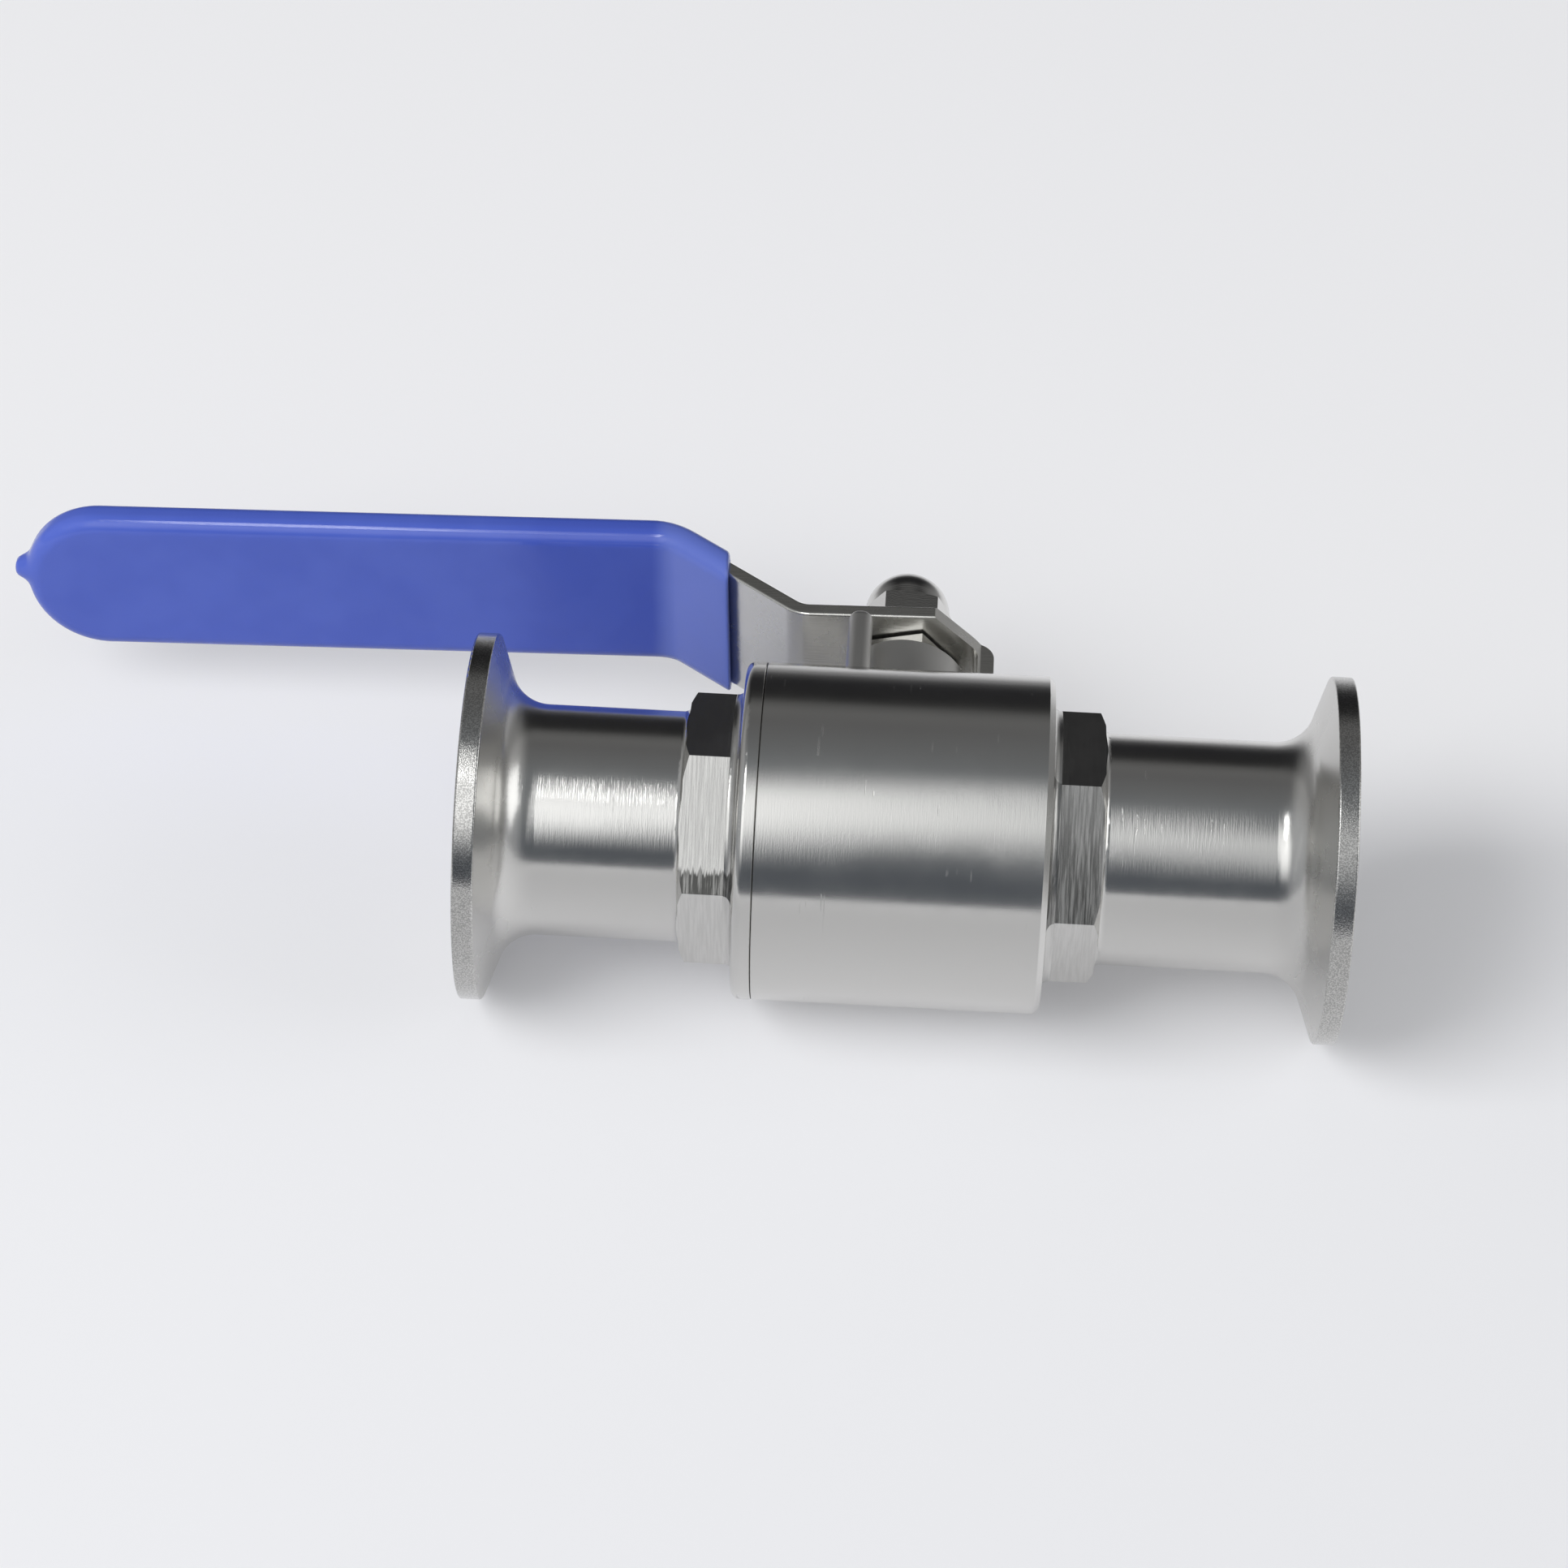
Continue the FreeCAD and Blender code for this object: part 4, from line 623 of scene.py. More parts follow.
def side_stations(start, end, half_width, corner):
    """One half of an outline: along its side, round its corner and to the middle of its end.

    Each station is (run, width, inward run, inward width).
    """
    stations = []
    for step in range(SIDE_STEPS):
        run = start + (end - corner - start) * step / SIDE_STEPS
        stations.append((run, half_width, 0.0, -1.0))
    for turn in range(CORNER_STEPS + 1):
        angle = math.pi / 2 * turn / CORNER_STEPS
        run = end - corner + corner * math.sin(angle)
        width = half_width - corner + corner * math.cos(angle)
        stations.append((run, width, -math.sin(angle), -math.cos(angle)))
    for step in range(1, END_STEPS + 1):
        stations.append((end, (half_width - corner) * (1 - step / END_STEPS), -1.0, 0.0))
    return stations


def ring_of(station, edge, reach):
    """The closed section at one station: up one side, across, down the other side and back."""
    run, width, inward_run, inward_width = station
    wall = []
    for half, base in ((-1, -reach + edge), (1, reach - edge)):
        for step in range(EDGE_STEPS + 1):
            angle = math.pi / 2 * (step / EDGE_STEPS - (1 if half < 0 else 0))
            inset = edge * (1 - math.cos(angle))
            height = base + edge * math.sin(angle)
            wall.append((run + inward_run * inset, width + inward_width * inset, height))
    ring = list(wall)
    crown_run, crown_width, _ = wall[-1]
    for column in range(1, CROWN_STEPS):
        ring.append((crown_run, crown_width * (1 - 2 * column / CROWN_STEPS), reach))
    ring.extend((r, -w, h) for r, w, h in reversed(wall))
    for column in range(1, CROWN_STEPS):
        ring.append((crown_run, crown_width * (2 * column / CROWN_STEPS - 1), -reach))
    return ring


def flat_sleeve(shape):
    """Rings of the sleeve before it is bent: the outside, the rounded lip and the inside."""
    sizes = shape.sizes
    half_strip = sizes.strip_thickness / 2
    mouth = shape.run_on_slope(sizes.mouth)
    lean = math.tan(shape.slope)
    lip = sizes.slope_wall / 2
    outer_end = shape.run_on_handle(-sizes.sleeve_end)
    inner_end = shape.run_on_handle(-sizes.strip_end)
    half_width = sizes.strip_width / 2
    outside = side_stations(mouth + lip, outer_end, half_width + sizes.wall, sizes.sleeve_corner)
    inside = side_stations(mouth + lip, inner_end, half_width, sizes.strip_corner)

    def leaning(ring):
        bent = []
        for run, width, height in ring:
            share = 1 - ease(run, mouth, mouth + LEAN_RUN)
            bent.append((run + height * lean * share, width, height))
        return bent

    outer_rings = []
    for station in outside:
        wall = sizes.slope_wall + (sizes.wall - sizes.slope_wall) * ease(
            station[0], shape.arc_start, shape.arc_end
        )
        outer_rings.append(ring_of(station, sizes.edge, half_strip + wall))
    inner_rings = [ring_of(station, sizes.strip_edge, half_strip) for station in inside]
    add_drip(outer_rings, outer_end, sizes)
    lips = []
    for turn in range(1, LIP_STEPS):
        angle = math.pi * turn / LIP_STEPS
        share = (1 - math.cos(angle)) / 2
        out = math.sin(angle) * lip
        ring = []
        for one, other in zip(outer_rings[0], inner_rings[0]):
            width = one[1] + (other[1] - one[1]) * share
            height = one[2] + (other[2] - one[2]) * share
            ring.append((mouth + lip - out, width, height))
        lips.append(ring)
    rings = list(reversed(inner_rings)) + list(reversed(lips)) + outer_rings
    return [leaning(ring) for ring in rings]


def add_drip(rings, end, sizes):
    """Pulls the last drop of the dip out of the rounded end."""
    for ring in rings:
        for place, (run, width, height) in enumerate(ring):
            away = math.hypot(width - sizes.drip_offset, height)
            facing = ease(run, end - sizes.edge, end - sizes.edge * DRIP_FULL)
            rise = 1 / (1 + (away / sizes.drip_radius) ** DRIP_POWER)
            ring[place] = (run + sizes.drip_length * rise * facing, width, height)


def bend_tree(material):
    """Geometry nodes that lay a flat form along the cranked line of the lever."""
    tree = bpy.data.node_groups.new("follow the lever", "GeometryNodeTree")
    sockets = tree.interface
    sockets.new_socket("Form", in_out="INPUT", socket_type="NodeSocketGeometry")
    for name in ("Foot", "Corner", "Tail"):
        sockets.new_socket(name, in_out="INPUT", socket_type="NodeSocketVector")
    sockets.new_socket("Bend Radius", in_out="INPUT", socket_type="NodeSocketFloat")
    sockets.new_socket("Bent Form", in_out="OUTPUT", socket_type="NodeSocketGeometry")
    given = put(tree, "NodeGroupInput").outputs
    line = put(tree, "GeometryNodeCurvePrimitiveLine")
    three = put(tree, "GeometryNodeResampleCurve", {"Curve": line.outputs[0], "Count": 3})
    index = put(tree, "GeometryNodeInputIndex").outputs[0]
    pick = put(tree, "GeometryNodeIndexSwitch", data_type="VECTOR")
    pick.index_switch_items.new()
    tree.links.new(index, pick.inputs[0])
    for place, name in enumerate(("Foot", "Corner", "Tail"), start=1):
        tree.links.new(given[name], pick.inputs[place])
    moved = put(tree, "GeometryNodeSetPosition", {"Geometry": three.outputs[0], "Position": pick.outputs[0]})
    links = {
        "Curve": moved.outputs[0],
        "Radius": given["Bend Radius"],
        "Count": BEND_STEPS,
        "Limit Radius": False,
    }
    rounded = put(tree, "GeometryNodeFilletCurve", links, mode="POLY")
    position = put(tree, "GeometryNodeInputPosition").outputs[0]
    parts = put(tree, "ShaderNodeSeparateXYZ", (position,)).outputs
    links = {"Curves": rounded.outputs[0], "Length": parts[0]}
    sample = put(tree, "GeometryNodeSampleCurve", links, mode="LENGTH", use_all_curves=True)
    sides = ((0.0, 1.0, 0.0), sample.outputs["Tangent"])
    across = put(tree, "ShaderNodeVectorMath", sides, operation="CROSS_PRODUCT")
    unit = put(tree, "ShaderNodeVectorMath", (across.outputs[0],), operation="NORMALIZE")
    rise = put(tree, "ShaderNodeVectorMath", {0: unit.outputs[0], "Scale": parts[2]}, operation="SCALE")
    sideways = put(tree, "ShaderNodeCombineXYZ", {1: parts[1]})
    lifted = put(tree, "ShaderNodeVectorMath", (sample.outputs["Position"], rise.outputs[0]))
    final = put(tree, "ShaderNodeVectorMath", (lifted.outputs[0], sideways.outputs[0]))
    laid = put(tree, "GeometryNodeSetPosition", {"Geometry": given["Form"], "Position": final.outputs[0]})
    real = put(tree, "GeometryNodeRealizeInstances", {"Geometry": laid.outputs[0]})
    links = {"Geometry": real.outputs[0], "Material": material}
    finished = put(tree, "GeometryNodeSetMaterial", links)
    put(tree, "NodeGroupOutput", (finished.outputs[0],))
    return tree


def mesh_of_rings(name, rings):
    """A closed mesh from rings of the same count; both ends shrink to a line."""
    mesh = bmesh.new()
    rows = [[mesh.verts.new(point) for point in ring] for ring in rings]
    count = len(rows[0])
    for lower, upper in zip(rows, rows[1:]):
        for place in range(count):
            after = (place + 1) % count
            mesh.faces.new((lower[place], lower[after], upper[after], upper[place]))
    bmesh.ops.remove_doubles(mesh, verts=mesh.verts, dist=MERGE_DISTANCE)
    bmesh.ops.dissolve_degenerate(mesh, edges=mesh.edges, dist=SHORTEST_EDGE)
    bmesh.ops.recalc_face_normals(mesh, faces=mesh.faces)
    for face in mesh.faces:
        face.smooth = True
    data = bpy.data.meshes.new(name)
    mesh.to_mesh(data)
    mesh.free()
    return data


def socket_key(tree, name):
    """The identifier of a tree's named input."""
    return next(item.identifier for item in tree.interface.items_tree if item.name == name)


def show(name, data):
    piece = bpy.data.objects.new(name, data)
    bpy.context.scene.collection.objects.link(piece)
    return piece


class FinishSettings(bpy.types.PropertyGroup):
    """Colours and marks of the finishes."""

    steel_colour: bpy.props.FloatVectorProperty(
        name="Steel",
        description="Bare stainless steel",
        subtype="COLOR",
        size=4,
        min=0,
        max=1,
        default=linear("DAD9D6"),
    )
    turned_roughness: bpy.props.FloatProperty(
        name="Turned roughness", description="Blur of the turned surfaces", default=0.17, min=0, max=1
    )
    sheet_roughness: bpy.props.FloatProperty(
        name="Sheet roughness", description="Blur of the lever", default=0.25, min=0, max=1
    )
    ring_pitch: bpy.props.FloatProperty(
        name="Ring pitch", description="Tool lines, one to the next", default=0.2 * MM, unit="LENGTH"
    )
    grain_pitch: bpy.props.FloatProperty(
        name="Grain pitch", description="Grinding lines, one to the next", default=0.32 * MM, unit="LENGTH"
    )
    mark_depth: bpy.props.FloatProperty(
        name="Mark depth", description="Depth of tool lines", default=0.014 * MM, unit="LENGTH"
    )
    vinyl_colour: bpy.props.FloatVectorProperty(
        name="Vinyl",
        description="Sleeve",
        subtype="COLOR",
        size=4,
        min=0,
        max=1,
        default=linear("566CCF"),
    )
    # The deeper blue of the sleeve near the bend and in soft clouds.
    vinyl_deep_blue: bpy.props.FloatVectorProperty(
        name="Vinyl shade",
        description="Thicker vinyl",
        subtype="COLOR",
        size=4,
        min=0,
        max=1,
        default=linear("4B61C6"),
    )
    vinyl_roughness: bpy.props.FloatProperty(
        name="Vinyl roughness", description="Blur of the sleeve", default=0.08, min=0, max=1
    )


class SleeveSettings(bpy.types.PropertyGroup):
    """Sizes of the sleeve and of the lever under it."""

    strip_thickness: bpy.props.FloatProperty(
        name="Strip thickness", description="Sheet of the lever", default=2.3 * MM, unit="LENGTH"
    )
    strip_width: bpy.props.FloatProperty(
        name="Strip width", description="Lever strip", default=20.6 * MM, unit="LENGTH"
    )
    strip_corner: bpy.props.FloatProperty(
        name="Strip corner", description="Rounded corners of the strip", default=8.5 * MM, unit="LENGTH"
    )
    strip_edge: bpy.props.FloatProperty(
        name="Strip edge", description="Rounded edges of the strip", default=0.35 * MM, unit="LENGTH"
    )
    strip_end: bpy.props.FloatProperty(
        name="Strip end", description="From the stem axis", default=125.8 * MM, unit="LENGTH"
    )
    crank_start: bpy.props.FloatProperty(
        name="Crank start", description="Foot of the slope, from the stem", default=14.5 * MM, unit="LENGTH"
    )
    crank_angle: bpy.props.FloatProperty(
        name="Crank angle", description="Slope of the lever", default=math.radians(39), subtype="ANGLE"
    )
    head_top: bpy.props.FloatProperty(
        name="Head top", description="Top of the lever's head", default=37.2 * MM, unit="LENGTH"
    )
    handle_top: bpy.props.FloatProperty(
        name="Handle top", description="Top of the strip's handle", default=52.8 * MM, unit="LENGTH"
    )
    bend_radius: bpy.props.FloatProperty(
        name="Bend radius", description="Inside of the upper bend", default=7.0 * MM, unit="LENGTH"
    )
    play: bpy.props.FloatProperty(
        name="Play", description="Turn of the lever on its flats", default=math.radians(-1.8), subtype="ANGLE"
    )
    mouth: bpy.props.FloatProperty(
        name="Mouth", description="Plane of the sleeve's mouth", default=-25.414 * MM, unit="LENGTH"
    )
    wall: bpy.props.FloatProperty(
        name="Wall", description="Vinyl on the handle", default=1.6 * MM, unit="LENGTH"
    )
    slope_wall: bpy.props.FloatProperty(
        name="Slope wall", description="Vinyl on the slope", default=1.35 * MM, unit="LENGTH"
    )
    edge: bpy.props.FloatProperty(
        name="Edge", description="Rounding along the sleeve", default=2.3 * MM, unit="LENGTH"
    )
    sleeve_end: bpy.props.FloatProperty(
        name="Sleeve end", description="From the stem axis", default=128.9 * MM, unit="LENGTH"
    )
    sleeve_corner: bpy.props.FloatProperty(
        name="Sleeve corner", description="Rounded corners of its end", default=11.4 * MM, unit="LENGTH"
    )
    drip_offset: bpy.props.FloatProperty(
        name="Drip offset", description="Drip, beside the middle", default=-1.2 * MM, unit="LENGTH"
    )
    drip_radius: bpy.props.FloatProperty(
        name="Drip radius", description="Drip, half way down", default=1.8 * MM, unit="LENGTH"
    )
    drip_length: bpy.props.FloatProperty(
        name="Drip length", description="Drip beyond the end", default=1.85 * MM, unit="LENGTH"
    )


class StudioSettings(bpy.types.PropertyGroup):
    """Camera, floor and lamps."""

    lens: bpy.props.FloatProperty(name="Lens", description="Focal length in millimetres", default=111.8)
    floor_place: bpy.props.FloatProperty(
        name="Floor place", description="Floor beside the valve, along Y", default=25.27 * MM, unit="LENGTH"
    )
    floor_colour: bpy.props.FloatVectorProperty(
        name="Floor",
        description="Pale paper",
        subtype="COLOR",
        size=4,
        min=0,
        max=1,
        default=linear("F5F5F7"),
    )
    floor_glow: bpy.props.FloatProperty(
        name="Floor glow", description="Share of paper white in the seen floor", default=0.22, min=0, max=1
    )
    window_level: bpy.props.FloatProperty(
        name="Window", description="Radiance of the sheer window over the camera", default=1.12, min=0
    )
    tent_ends: bpy.props.FloatProperty(
        name="Tent ends", description="Radiance of the tent's two ends", default=0.2, min=0
    )
    left_level: bpy.props.FloatProperty(
        name="Left lamp", description="Radiance of the lamp on the left", default=5.0, min=0
    )
    screen_level: bpy.props.FloatProperty(
        name="Left screen", description="Radiance of its screen, which only gloss shows", default=1.8, min=0
    )
    strip_level: bpy.props.FloatProperty(
        name="Strip light", description="Radiance of the strip light at its left end", default=6.6, min=0
    )
    right_level: bpy.props.FloatProperty(
        name="Right lamp", description="Radiance of the lamp on the right", default=1.2, min=0
    )
    lamp_distance: bpy.props.FloatProperty(
        name="Lamp distance", description="From the valve to a lamp", default=1.1, unit="LENGTH"
    )


class VALVE_OT_finish_body(bpy.types.Operator):
    """Finish the valve body and the end cap"""

    bl_idname = "valve.finish_body"
    bl_label = "Finish body and end cap"

    def execute(self, context):
        dress_nodes(context.scene.valve_finish, turned_and_ground_stainless, "valve_body", "end_cap")
        return {"FINISHED"}


class VALVE_OT_finish_stem_parts(bpy.types.Operator):
    """Finish the stem, its nuts and its lock washer"""

    bl_idname = "valve.finish_stem_parts"
    bl_label = "Finish stem, nuts and washer"

    def execute(self, context):
        finish = context.scene.valve_finish
        dress_nodes(finish, turned_stainless, "stem", "stem_nut", "gland_nut", "gland_ring")
        dress_nodes(finish, spring_wire_stainless, "spring_washer")
        dress_nodes(finish, mirror_polished_stainless, "ball")
        return {"FINISHED"}


class VALVE_OT_finish_lever(bpy.types.Operator):
    """Finish the lever"""

    bl_idname = "valve.finish_lever"
    bl_label = "Finish lever"

    def execute(self, context):
        dress_nodes(context.scene.valve_finish, polished_sheet_stainless, "lever")
        return {"FINISHED"}


class VALVE_OT_finish_seals(bpy.types.Operator):
    """Finish seats, packing, gasket and rubber ring"""

    bl_idname = "valve.finish_seals"
    bl_label = "Finish seals"

    def execute(self, context):
        finish = context.scene.valve_finish
        plastic = (
            "seat_ring_body",
            "seat_ring_cap",
            "body_gasket",
            "stem_thrust_washer",
            "packing_bottom_ring",
            "packing_v_ring_lower",
            "packing_v_ring_middle",
            "packing_v_ring_upper",
            "packing_top_ring",
        )
        dress_nodes(finish, machined_fluoroplastic, *plastic)
        dress_nodes(finish, moulded_rubber, "stem_o_ring")
        return {"FINISHED"}


class VALVE_OT_make_sleeve(bpy.types.Operator):
    """Make the dipped vinyl sleeve with its lip and drip"""

    bl_idname = "valve.make_sleeve"
    bl_label = "Make sleeve"

    def execute(self, context):
        sizes = context.scene.valve_sleeve
        shape = SleeveShape(sizes)
        flat = show("flat_sleeve", mesh_of_rings("flat_sleeve", flat_sleeve(shape)))
        tree = bend_tree(dipped_vinyl(context.scene.valve_finish))
        modifier = flat.modifiers.new("follow the lever", "NODES")
        modifier.node_group = tree
        for name, point in zip(("Foot", "Corner", "Tail"), shape.points()):
            modifier[socket_key(tree, name)] = point
        modifier[socket_key(tree, "Bend Radius")] = shape.radius
        seen = flat.evaluated_get(context.evaluated_depsgraph_get())
        data = bpy.data.meshes.new_from_object(seen)
        data.transform(Matrix.Rotation(sizes.play, 4, "Z"))
        bpy.data.objects.remove(flat)
        sleeve = show("vinyl_sleeve", data)
        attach(sleeve, "handle")
        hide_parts("lever_grip")
        return {"FINISHED"}


def paper(studio):
    """Matt pale paper under the valve, seen from the front only, so that no view is blocked."""
    material, tree = new_material("matt white paper")
    vector, x, _, z = place_on_object(tree)
    colour = tuple(studio.floor_colour)
    fibre = spots(tree, vector, 1.5 * MM, 3.0)
    bump = put(tree, "ShaderNodeBump", {"Strength": 0.3, "Distance": 0.02 * MM, "Height": fibre})
    links = {"Color": colour, "Roughness": 1.0, "Normal": bump.outputs[0]}
    face = put(tree, "ShaderNodeBsdfDiffuse", links).outputs[0]
    rays = put(tree, "ShaderNodeLightPath").outputs
    camera, glossy = rays["Is Camera Ray"], rays["Is Glossy Ray"]
    # The seen floor glows more under the handle: painted light that lightens the handle's shadow.
    glows = (studio.floor_glow, PAINTED_LIGHT_GAIN * studio.floor_glow)
    glow = put(tree, "ShaderNodeMapRange", (z, *PAINTED_LIGHT_RISE, *glows), **EASED).outputs[0]
    seen = put(tree, "ShaderNodeMath", (camera, glossy), operation="MAXIMUM").outputs[0]
    seen = put(tree, "ShaderNodeMath", (seen, glow), operation="MULTIPLY").outputs[0]
    pale = put(tree, "ShaderNodeEmission", {"Color": colour, "Strength": GLOW_STRENGTH}).outputs[0]
    face = put(tree, "ShaderNodeMixShader", (seen, face, pale)).outputs[0]
    distance = distance_from_axis(tree, x, z)
    far = put(tree, "ShaderNodeMapRange", (distance, *PAPER_FADE, 0.0, 1.0), **EASED).outputs[0]
    far = put(tree, "ShaderNodeMath", (far, camera), operation="MULTIPLY").outputs[0]
    back = put(tree, "ShaderNodeMapRange", (z, *PAPER_THINS), **EASED).outputs[0]
    back = put(tree, "ShaderNodeMath", (back, glossy), operation="MULTIPLY").outputs[0]
    behind = put(tree, "ShaderNodeNewGeometry").outputs["Backfacing"]
    share = put(tree, "ShaderNodeMath", (far, back), operation="MAXIMUM").outputs[0]
    share = put(tree, "ShaderNodeMath", (behind, share), operation="MAXIMUM").outputs[0]
    clear = put(tree, "ShaderNodeBsdfTransparent").outputs[0]
    sheet = put(tree, "ShaderNodeMixShader", (share, face, clear)).outputs[0]
    put(tree, "ShaderNodeOutputMaterial", {"Surface": sheet})
    return material


def round_the_axis(angle):
    """A direction in the plane across the flow axis, at an angle in radians from the camera's side."""
    forward = Vector((0, CAMERA_FORWARD[1], CAMERA_FORWARD[2])).normalized()
    away = Vector((0, -forward.z, forward.y))
    return -forward * math.cos(angle) + away * math.sin(angle)


def direction_at(along, round_angle):
    """A direction from its angle towards +X and its angle round the flow axis, in degrees."""
    lean = math.radians(along)
    return Vector((math.sin(lean), 0, 0)) + round_the_axis(math.radians(round_angle)) * math.cos(lean)


def window_light(tree, angle, slant):
    """The sheer window's share of its level, by the angles round the flow axis and along it."""
    start, peak, rest = WINDOW_LINE
    up, down = WINDOW_SLANTS
    line = put(tree, "ShaderNodeMapRange", (slant, *up, start, peak), **EASED).outputs[0]
    fall = put(tree, "ShaderNodeMapRange", (slant, *down, 0.0, rest - peak), **EASED).outputs[0]
    line = put(tree, "ShaderNodeMath", (line, fall), operation="ADD").outputs[0]
    off = put(tree, "ShaderNodeMath", (angle, line), operation="SUBTRACT").outputs[0]
    window = opening(tree, off, WINDOW_ROUND)
    for step in WINDOW_STEPS:
        level = put(tree, "ShaderNodeMapRange", (slant, *step), **EASED).outputs[0]
        window = put(tree, "ShaderNodeMath", (window, level), operation="MULTIPLY").outputs[0]
    return window


def tent_cloth(studio):
    """Grey cloth of the tent: it glows by its place round the valve, with a sheer window let in."""
    material, tree = new_material("tent cloth")
    vector = place_on_object(tree)[0]
    unit = put(tree, "ShaderNodeVectorMath", (vector,), operation="NORMALIZE").outputs[0]
    parts = []
    for axis in (round_the_axis(0), round_the_axis(math.pi / 2), (1, 0, 0)):
        dot = put(tree, "ShaderNodeVectorMath", (unit, tuple(axis)), operation="DOT_PRODUCT")
        parts.append(dot.outputs["Value"])
    front, side, along = parts
    angle = put(tree, "ShaderNodeMath", (side, front), operation="ARCTAN2").outputs[0]
    angle = put(tree, "ShaderNodeMath", (angle,), operation="DEGREES").outputs[0]
    share = put(tree, "ShaderNodeMath", (angle, 1 / 360, 0.5), operation="MULTIPLY_ADD").outputs[0]
    ramp = put(tree, "ShaderNodeValToRGB", (share,))
    elements = ramp.color_ramp.elements
    while len(elements) > 1:
        elements.remove(elements[-1])
    for place, (degrees, colour) in enumerate(TENT_LEVELS):
        element = elements[0] if place == 0 else elements.new(degrees / 360 + 0.5)
        element.position = degrees / 360 + 0.5
        element.color = (*colour, 1.0)
    slant = put(tree, "ShaderNodeMath", (along,), operation="ARCSINE").outputs[0]
    slant = put(tree, "ShaderNodeMath", (slant,), operation="DEGREES").outputs[0]
    window = window_light(tree, angle, slant)
    aside = put(tree, "ShaderNodeMath", (slant,), operation="ABSOLUTE").outputs[0]
    links = (aside, *TENT_END_ANGLES, 0.0, studio.tent_ends)
    ends = put(tree, "ShaderNodeMapRange", links, **EASED).outputs[0]
    links = (window, studio.window_level, ends)
    added = put(tree, "ShaderNodeMath", links, operation="MULTIPLY_ADD").outputs[0]
    lit = put(tree, "ShaderNodeVectorMath", (ramp.outputs[0], added), operation="ADD").outputs[0]
    glow = put(tree, "ShaderNodeEmission", {"Color": lit, "Strength": 1.0}).outputs[0]
    put(tree, "ShaderNodeOutputMaterial", {"Surface": glow})
    return material


def hang_lamp(name, place, level, size, distance):
    """A soft square lamp that looks at the valve; level is its radiance and place its two angles."""
    width, height = size
    data = bpy.data.lights.new(name, "AREA")
    data.shape = "RECTANGLE"
    data.size = width
    data.size_y = height
    data.energy = level * math.pi * width * height
    lamp = show(name, data)
    direction = direction_at(*place).normalized()
    lamp.location = direction * distance
    lamp.rotation_mode = "QUATERNION"
    lamp.rotation_quaternion = direction.to_track_quat("Z", "Y")
    return lamp


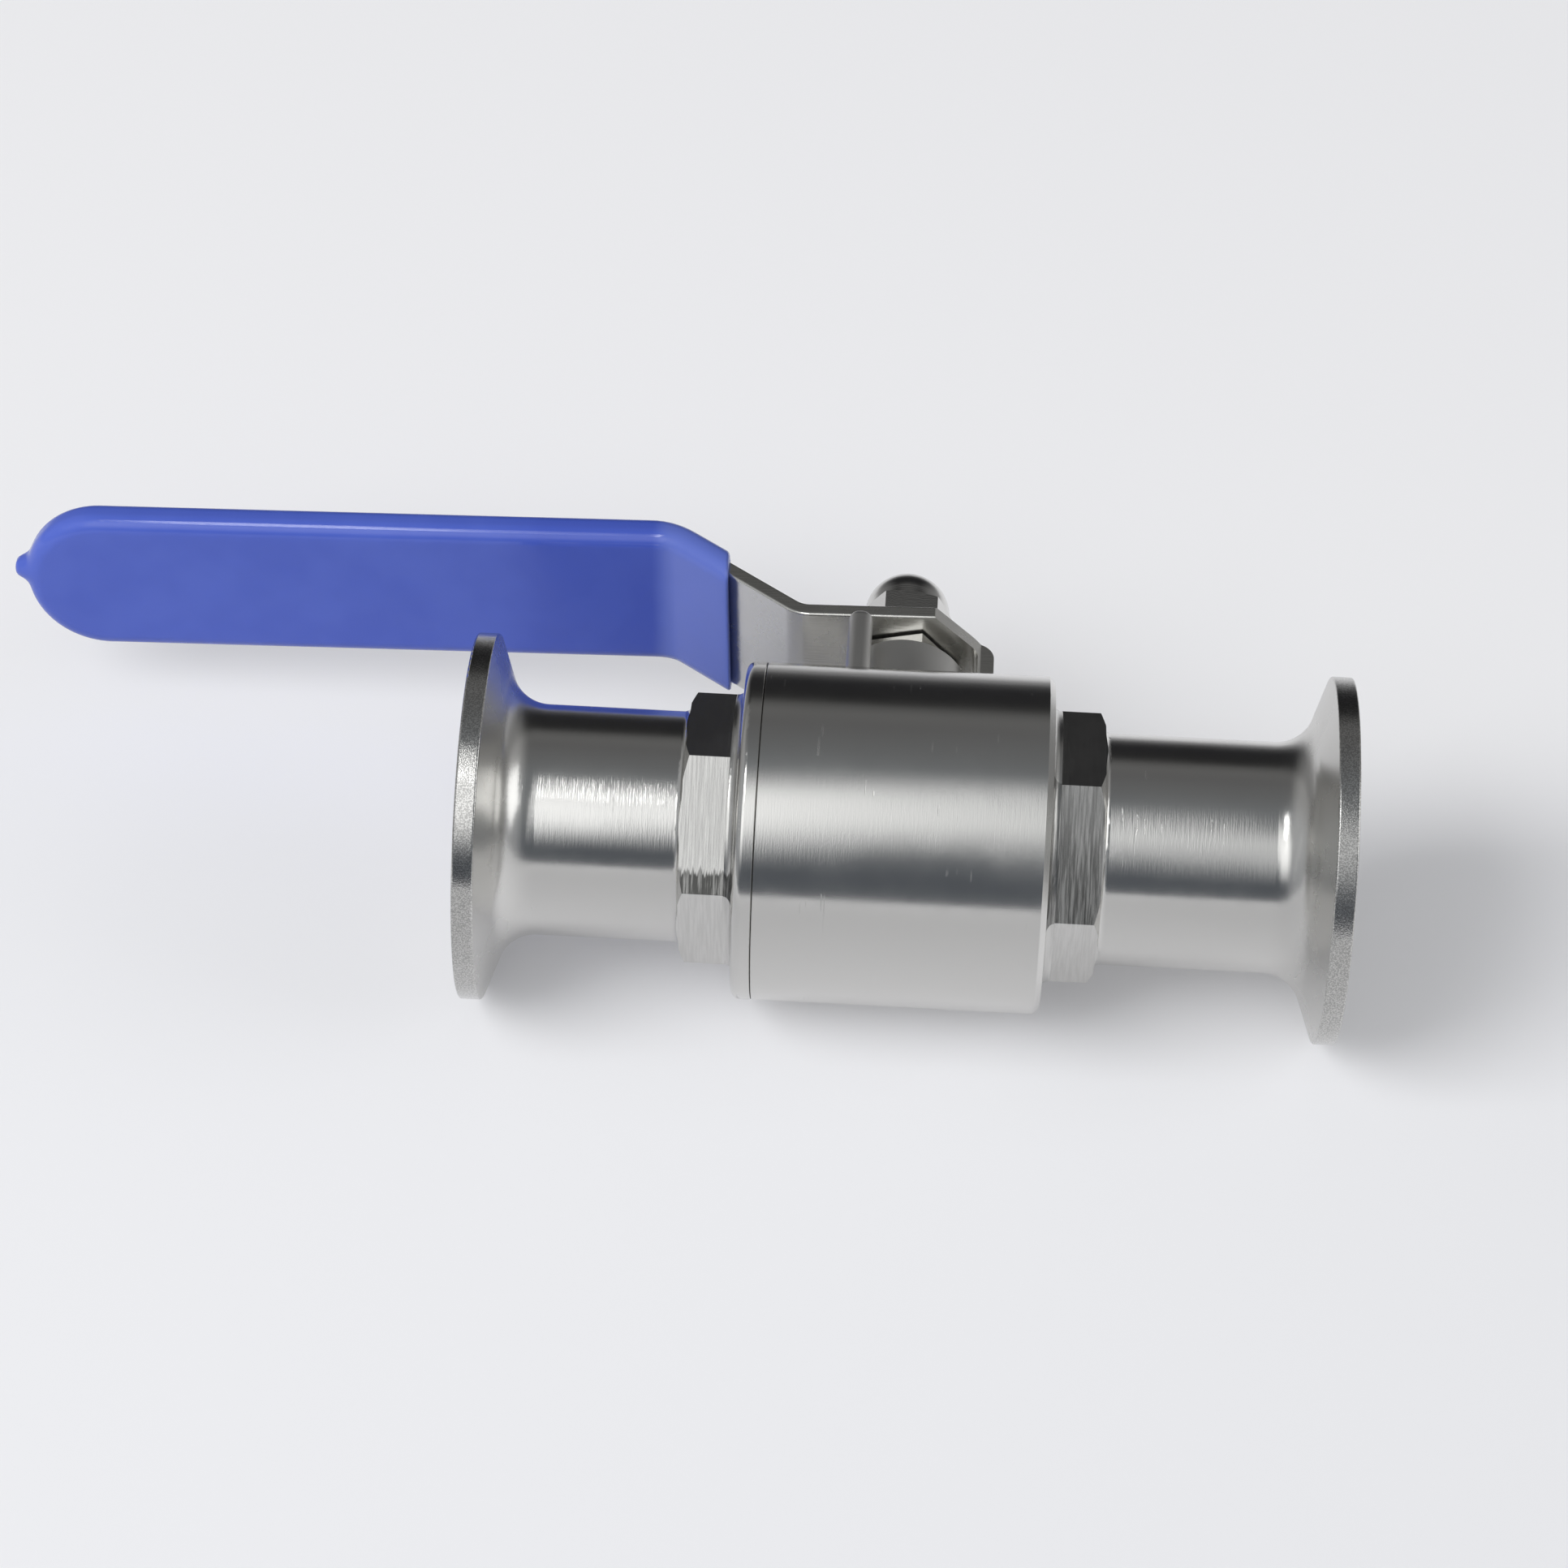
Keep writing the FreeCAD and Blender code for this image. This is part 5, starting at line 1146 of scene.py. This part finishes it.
class VALVE_OT_set_stage(bpy.types.Operator):
    """Set the floor, the tent, the lamps and the camera"""

    bl_idname = "valve.set_stage"
    bl_label = "Set stage"

    def execute(self, context):
        studio = context.scene.valve_studio
        self.lay_floor(studio)
        self.pitch_tent(studio)
        self.hang_lamps(studio)
        self.stand_camera(context, studio)
        self.light_room(context)
        view = context.scene.view_settings
        view.view_transform = "Standard"
        return {"FINISHED"}

    def lay_floor(self, studio):
        data = bpy.data.meshes.new("floor")
        reach = PAPER_REACH
        corners = [(-reach, -reach), (reach, -reach), (reach, reach), (-reach, reach)]
        points = [(x, studio.floor_place, z) for x, z in corners]
        data.from_pydata(points, [], [(0, 1, 2, 3)])
        data.materials.append(paper(studio))
        floor = show("floor", data)
        if data.polygons[0].normal.y > 0:
            data.flip_normals()

    def pitch_tent(self, studio):
        mesh = bmesh.new()
        bmesh.ops.create_icosphere(mesh, subdivisions=5, radius=TENT_RADIUS)
        bmesh.ops.reverse_faces(mesh, faces=mesh.faces)
        data = bpy.data.meshes.new("tent")
        mesh.to_mesh(data)
        mesh.free()
        data.materials.append(tent_cloth(studio))
        tent = show("tent", data)
        tent.visible_camera = False
        tent.visible_shadow = False

    def hang_lamps(self, studio):
        """The left lamp lights plain surfaces only; its screen and the strip light show in gloss only."""
        away = studio.lamp_distance
        lamp = hang_lamp("left lamp", LEFT_DIRECTION, studio.left_level, LEFT_LAMP_SIZE, away)
        lamp.visible_glossy = False
        screen = hang_lamp("left screen", LEFT_DIRECTION, studio.screen_level, LEFT_SCREEN_SIZE, away)
        screen.visible_diffuse = False
        hang_lamp("right lamp", RIGHT_DIRECTION, studio.right_level, RIGHT_LAMP_SIZE, away)
        for along, width, share in STRIP_PARTS:
            place = (along, STRIP_ROUND)
            strip = hang_lamp("strip light", place, studio.strip_level * share, (width, STRIP_HEIGHT), away)
            strip.visible_diffuse = False

    def stand_camera(self, context, studio):
        data = bpy.data.cameras.new("camera")
        data.sensor_width = 36.0
        data.lens = studio.lens
        data.clip_start = 0.01
        data.clip_end = 20.0
        camera = show("camera", data)
        right = Vector(CAMERA_RIGHT)
        up = -Vector(CAMERA_DOWN)
        back = -Vector(CAMERA_FORWARD)
        turn = Matrix((right, up, back)).transposed().to_4x4()
        camera.matrix_world = Matrix.Translation(CAMERA_PLACE) @ turn
        context.scene.camera = camera

    def light_room(self, context):
        world = bpy.data.worlds.new("room")
        world.use_nodes = True
        tree = world.node_tree
        tree.nodes.clear()
        background = put(tree, "ShaderNodeBackground", {"Color": linear(ROOM_COLOUR), "Strength": 1.0})
        put(tree, "ShaderNodeOutputWorld", {"Surface": background.outputs[0]})
        context.scene.world = world


class VALVE_PT_panel(bpy.types.Panel):
    """Lists what makes the valve"""

    bl_idname = "VALVE_PT_panel"
    bl_label = "Clamp ball valve"
    bl_space_type = "VIEW_3D"
    bl_region_type = "UI"
    bl_category = "Valve"

    def draw(self, context):
        scene = context.scene
        for settings in (scene.valve_finish, scene.valve_sleeve, scene.valve_studio):
            box = self.layout.box()
            for name in settings.__annotations__:
                box.prop(settings, name)
        for operator in STEPS:
            self.layout.operator(operator.bl_idname)


SETTINGS = (
    ("valve_finish", FinishSettings),
    ("valve_sleeve", SleeveSettings),
    ("valve_studio", StudioSettings),
)
STEPS = (
    VALVE_OT_finish_body,
    VALVE_OT_finish_stem_parts,
    VALVE_OT_finish_lever,
    VALVE_OT_finish_seals,
    VALVE_OT_make_sleeve,
    VALVE_OT_set_stage,
)


def register():
    for name, group in SETTINGS:
        bpy.utils.register_class(group)
        setattr(bpy.types.Scene, name, bpy.props.PointerProperty(type=group))
    for kind in (*STEPS, VALVE_PT_panel):
        bpy.utils.register_class(kind)


def unregister():
    for kind in reversed((*STEPS, VALVE_PT_panel)):
        bpy.utils.unregister_class(kind)
    for name, group in reversed(SETTINGS):
        delattr(bpy.types.Scene, name)
        bpy.utils.unregister_class(group)


def main():
    register()
    bpy.ops.valve.finish_body()
    bpy.ops.valve.finish_stem_parts()
    bpy.ops.valve.finish_lever()
    bpy.ops.valve.finish_seals()
    bpy.ops.valve.make_sleeve()
    bpy.ops.valve.set_stage()


if __name__ == "__main__":
    main()
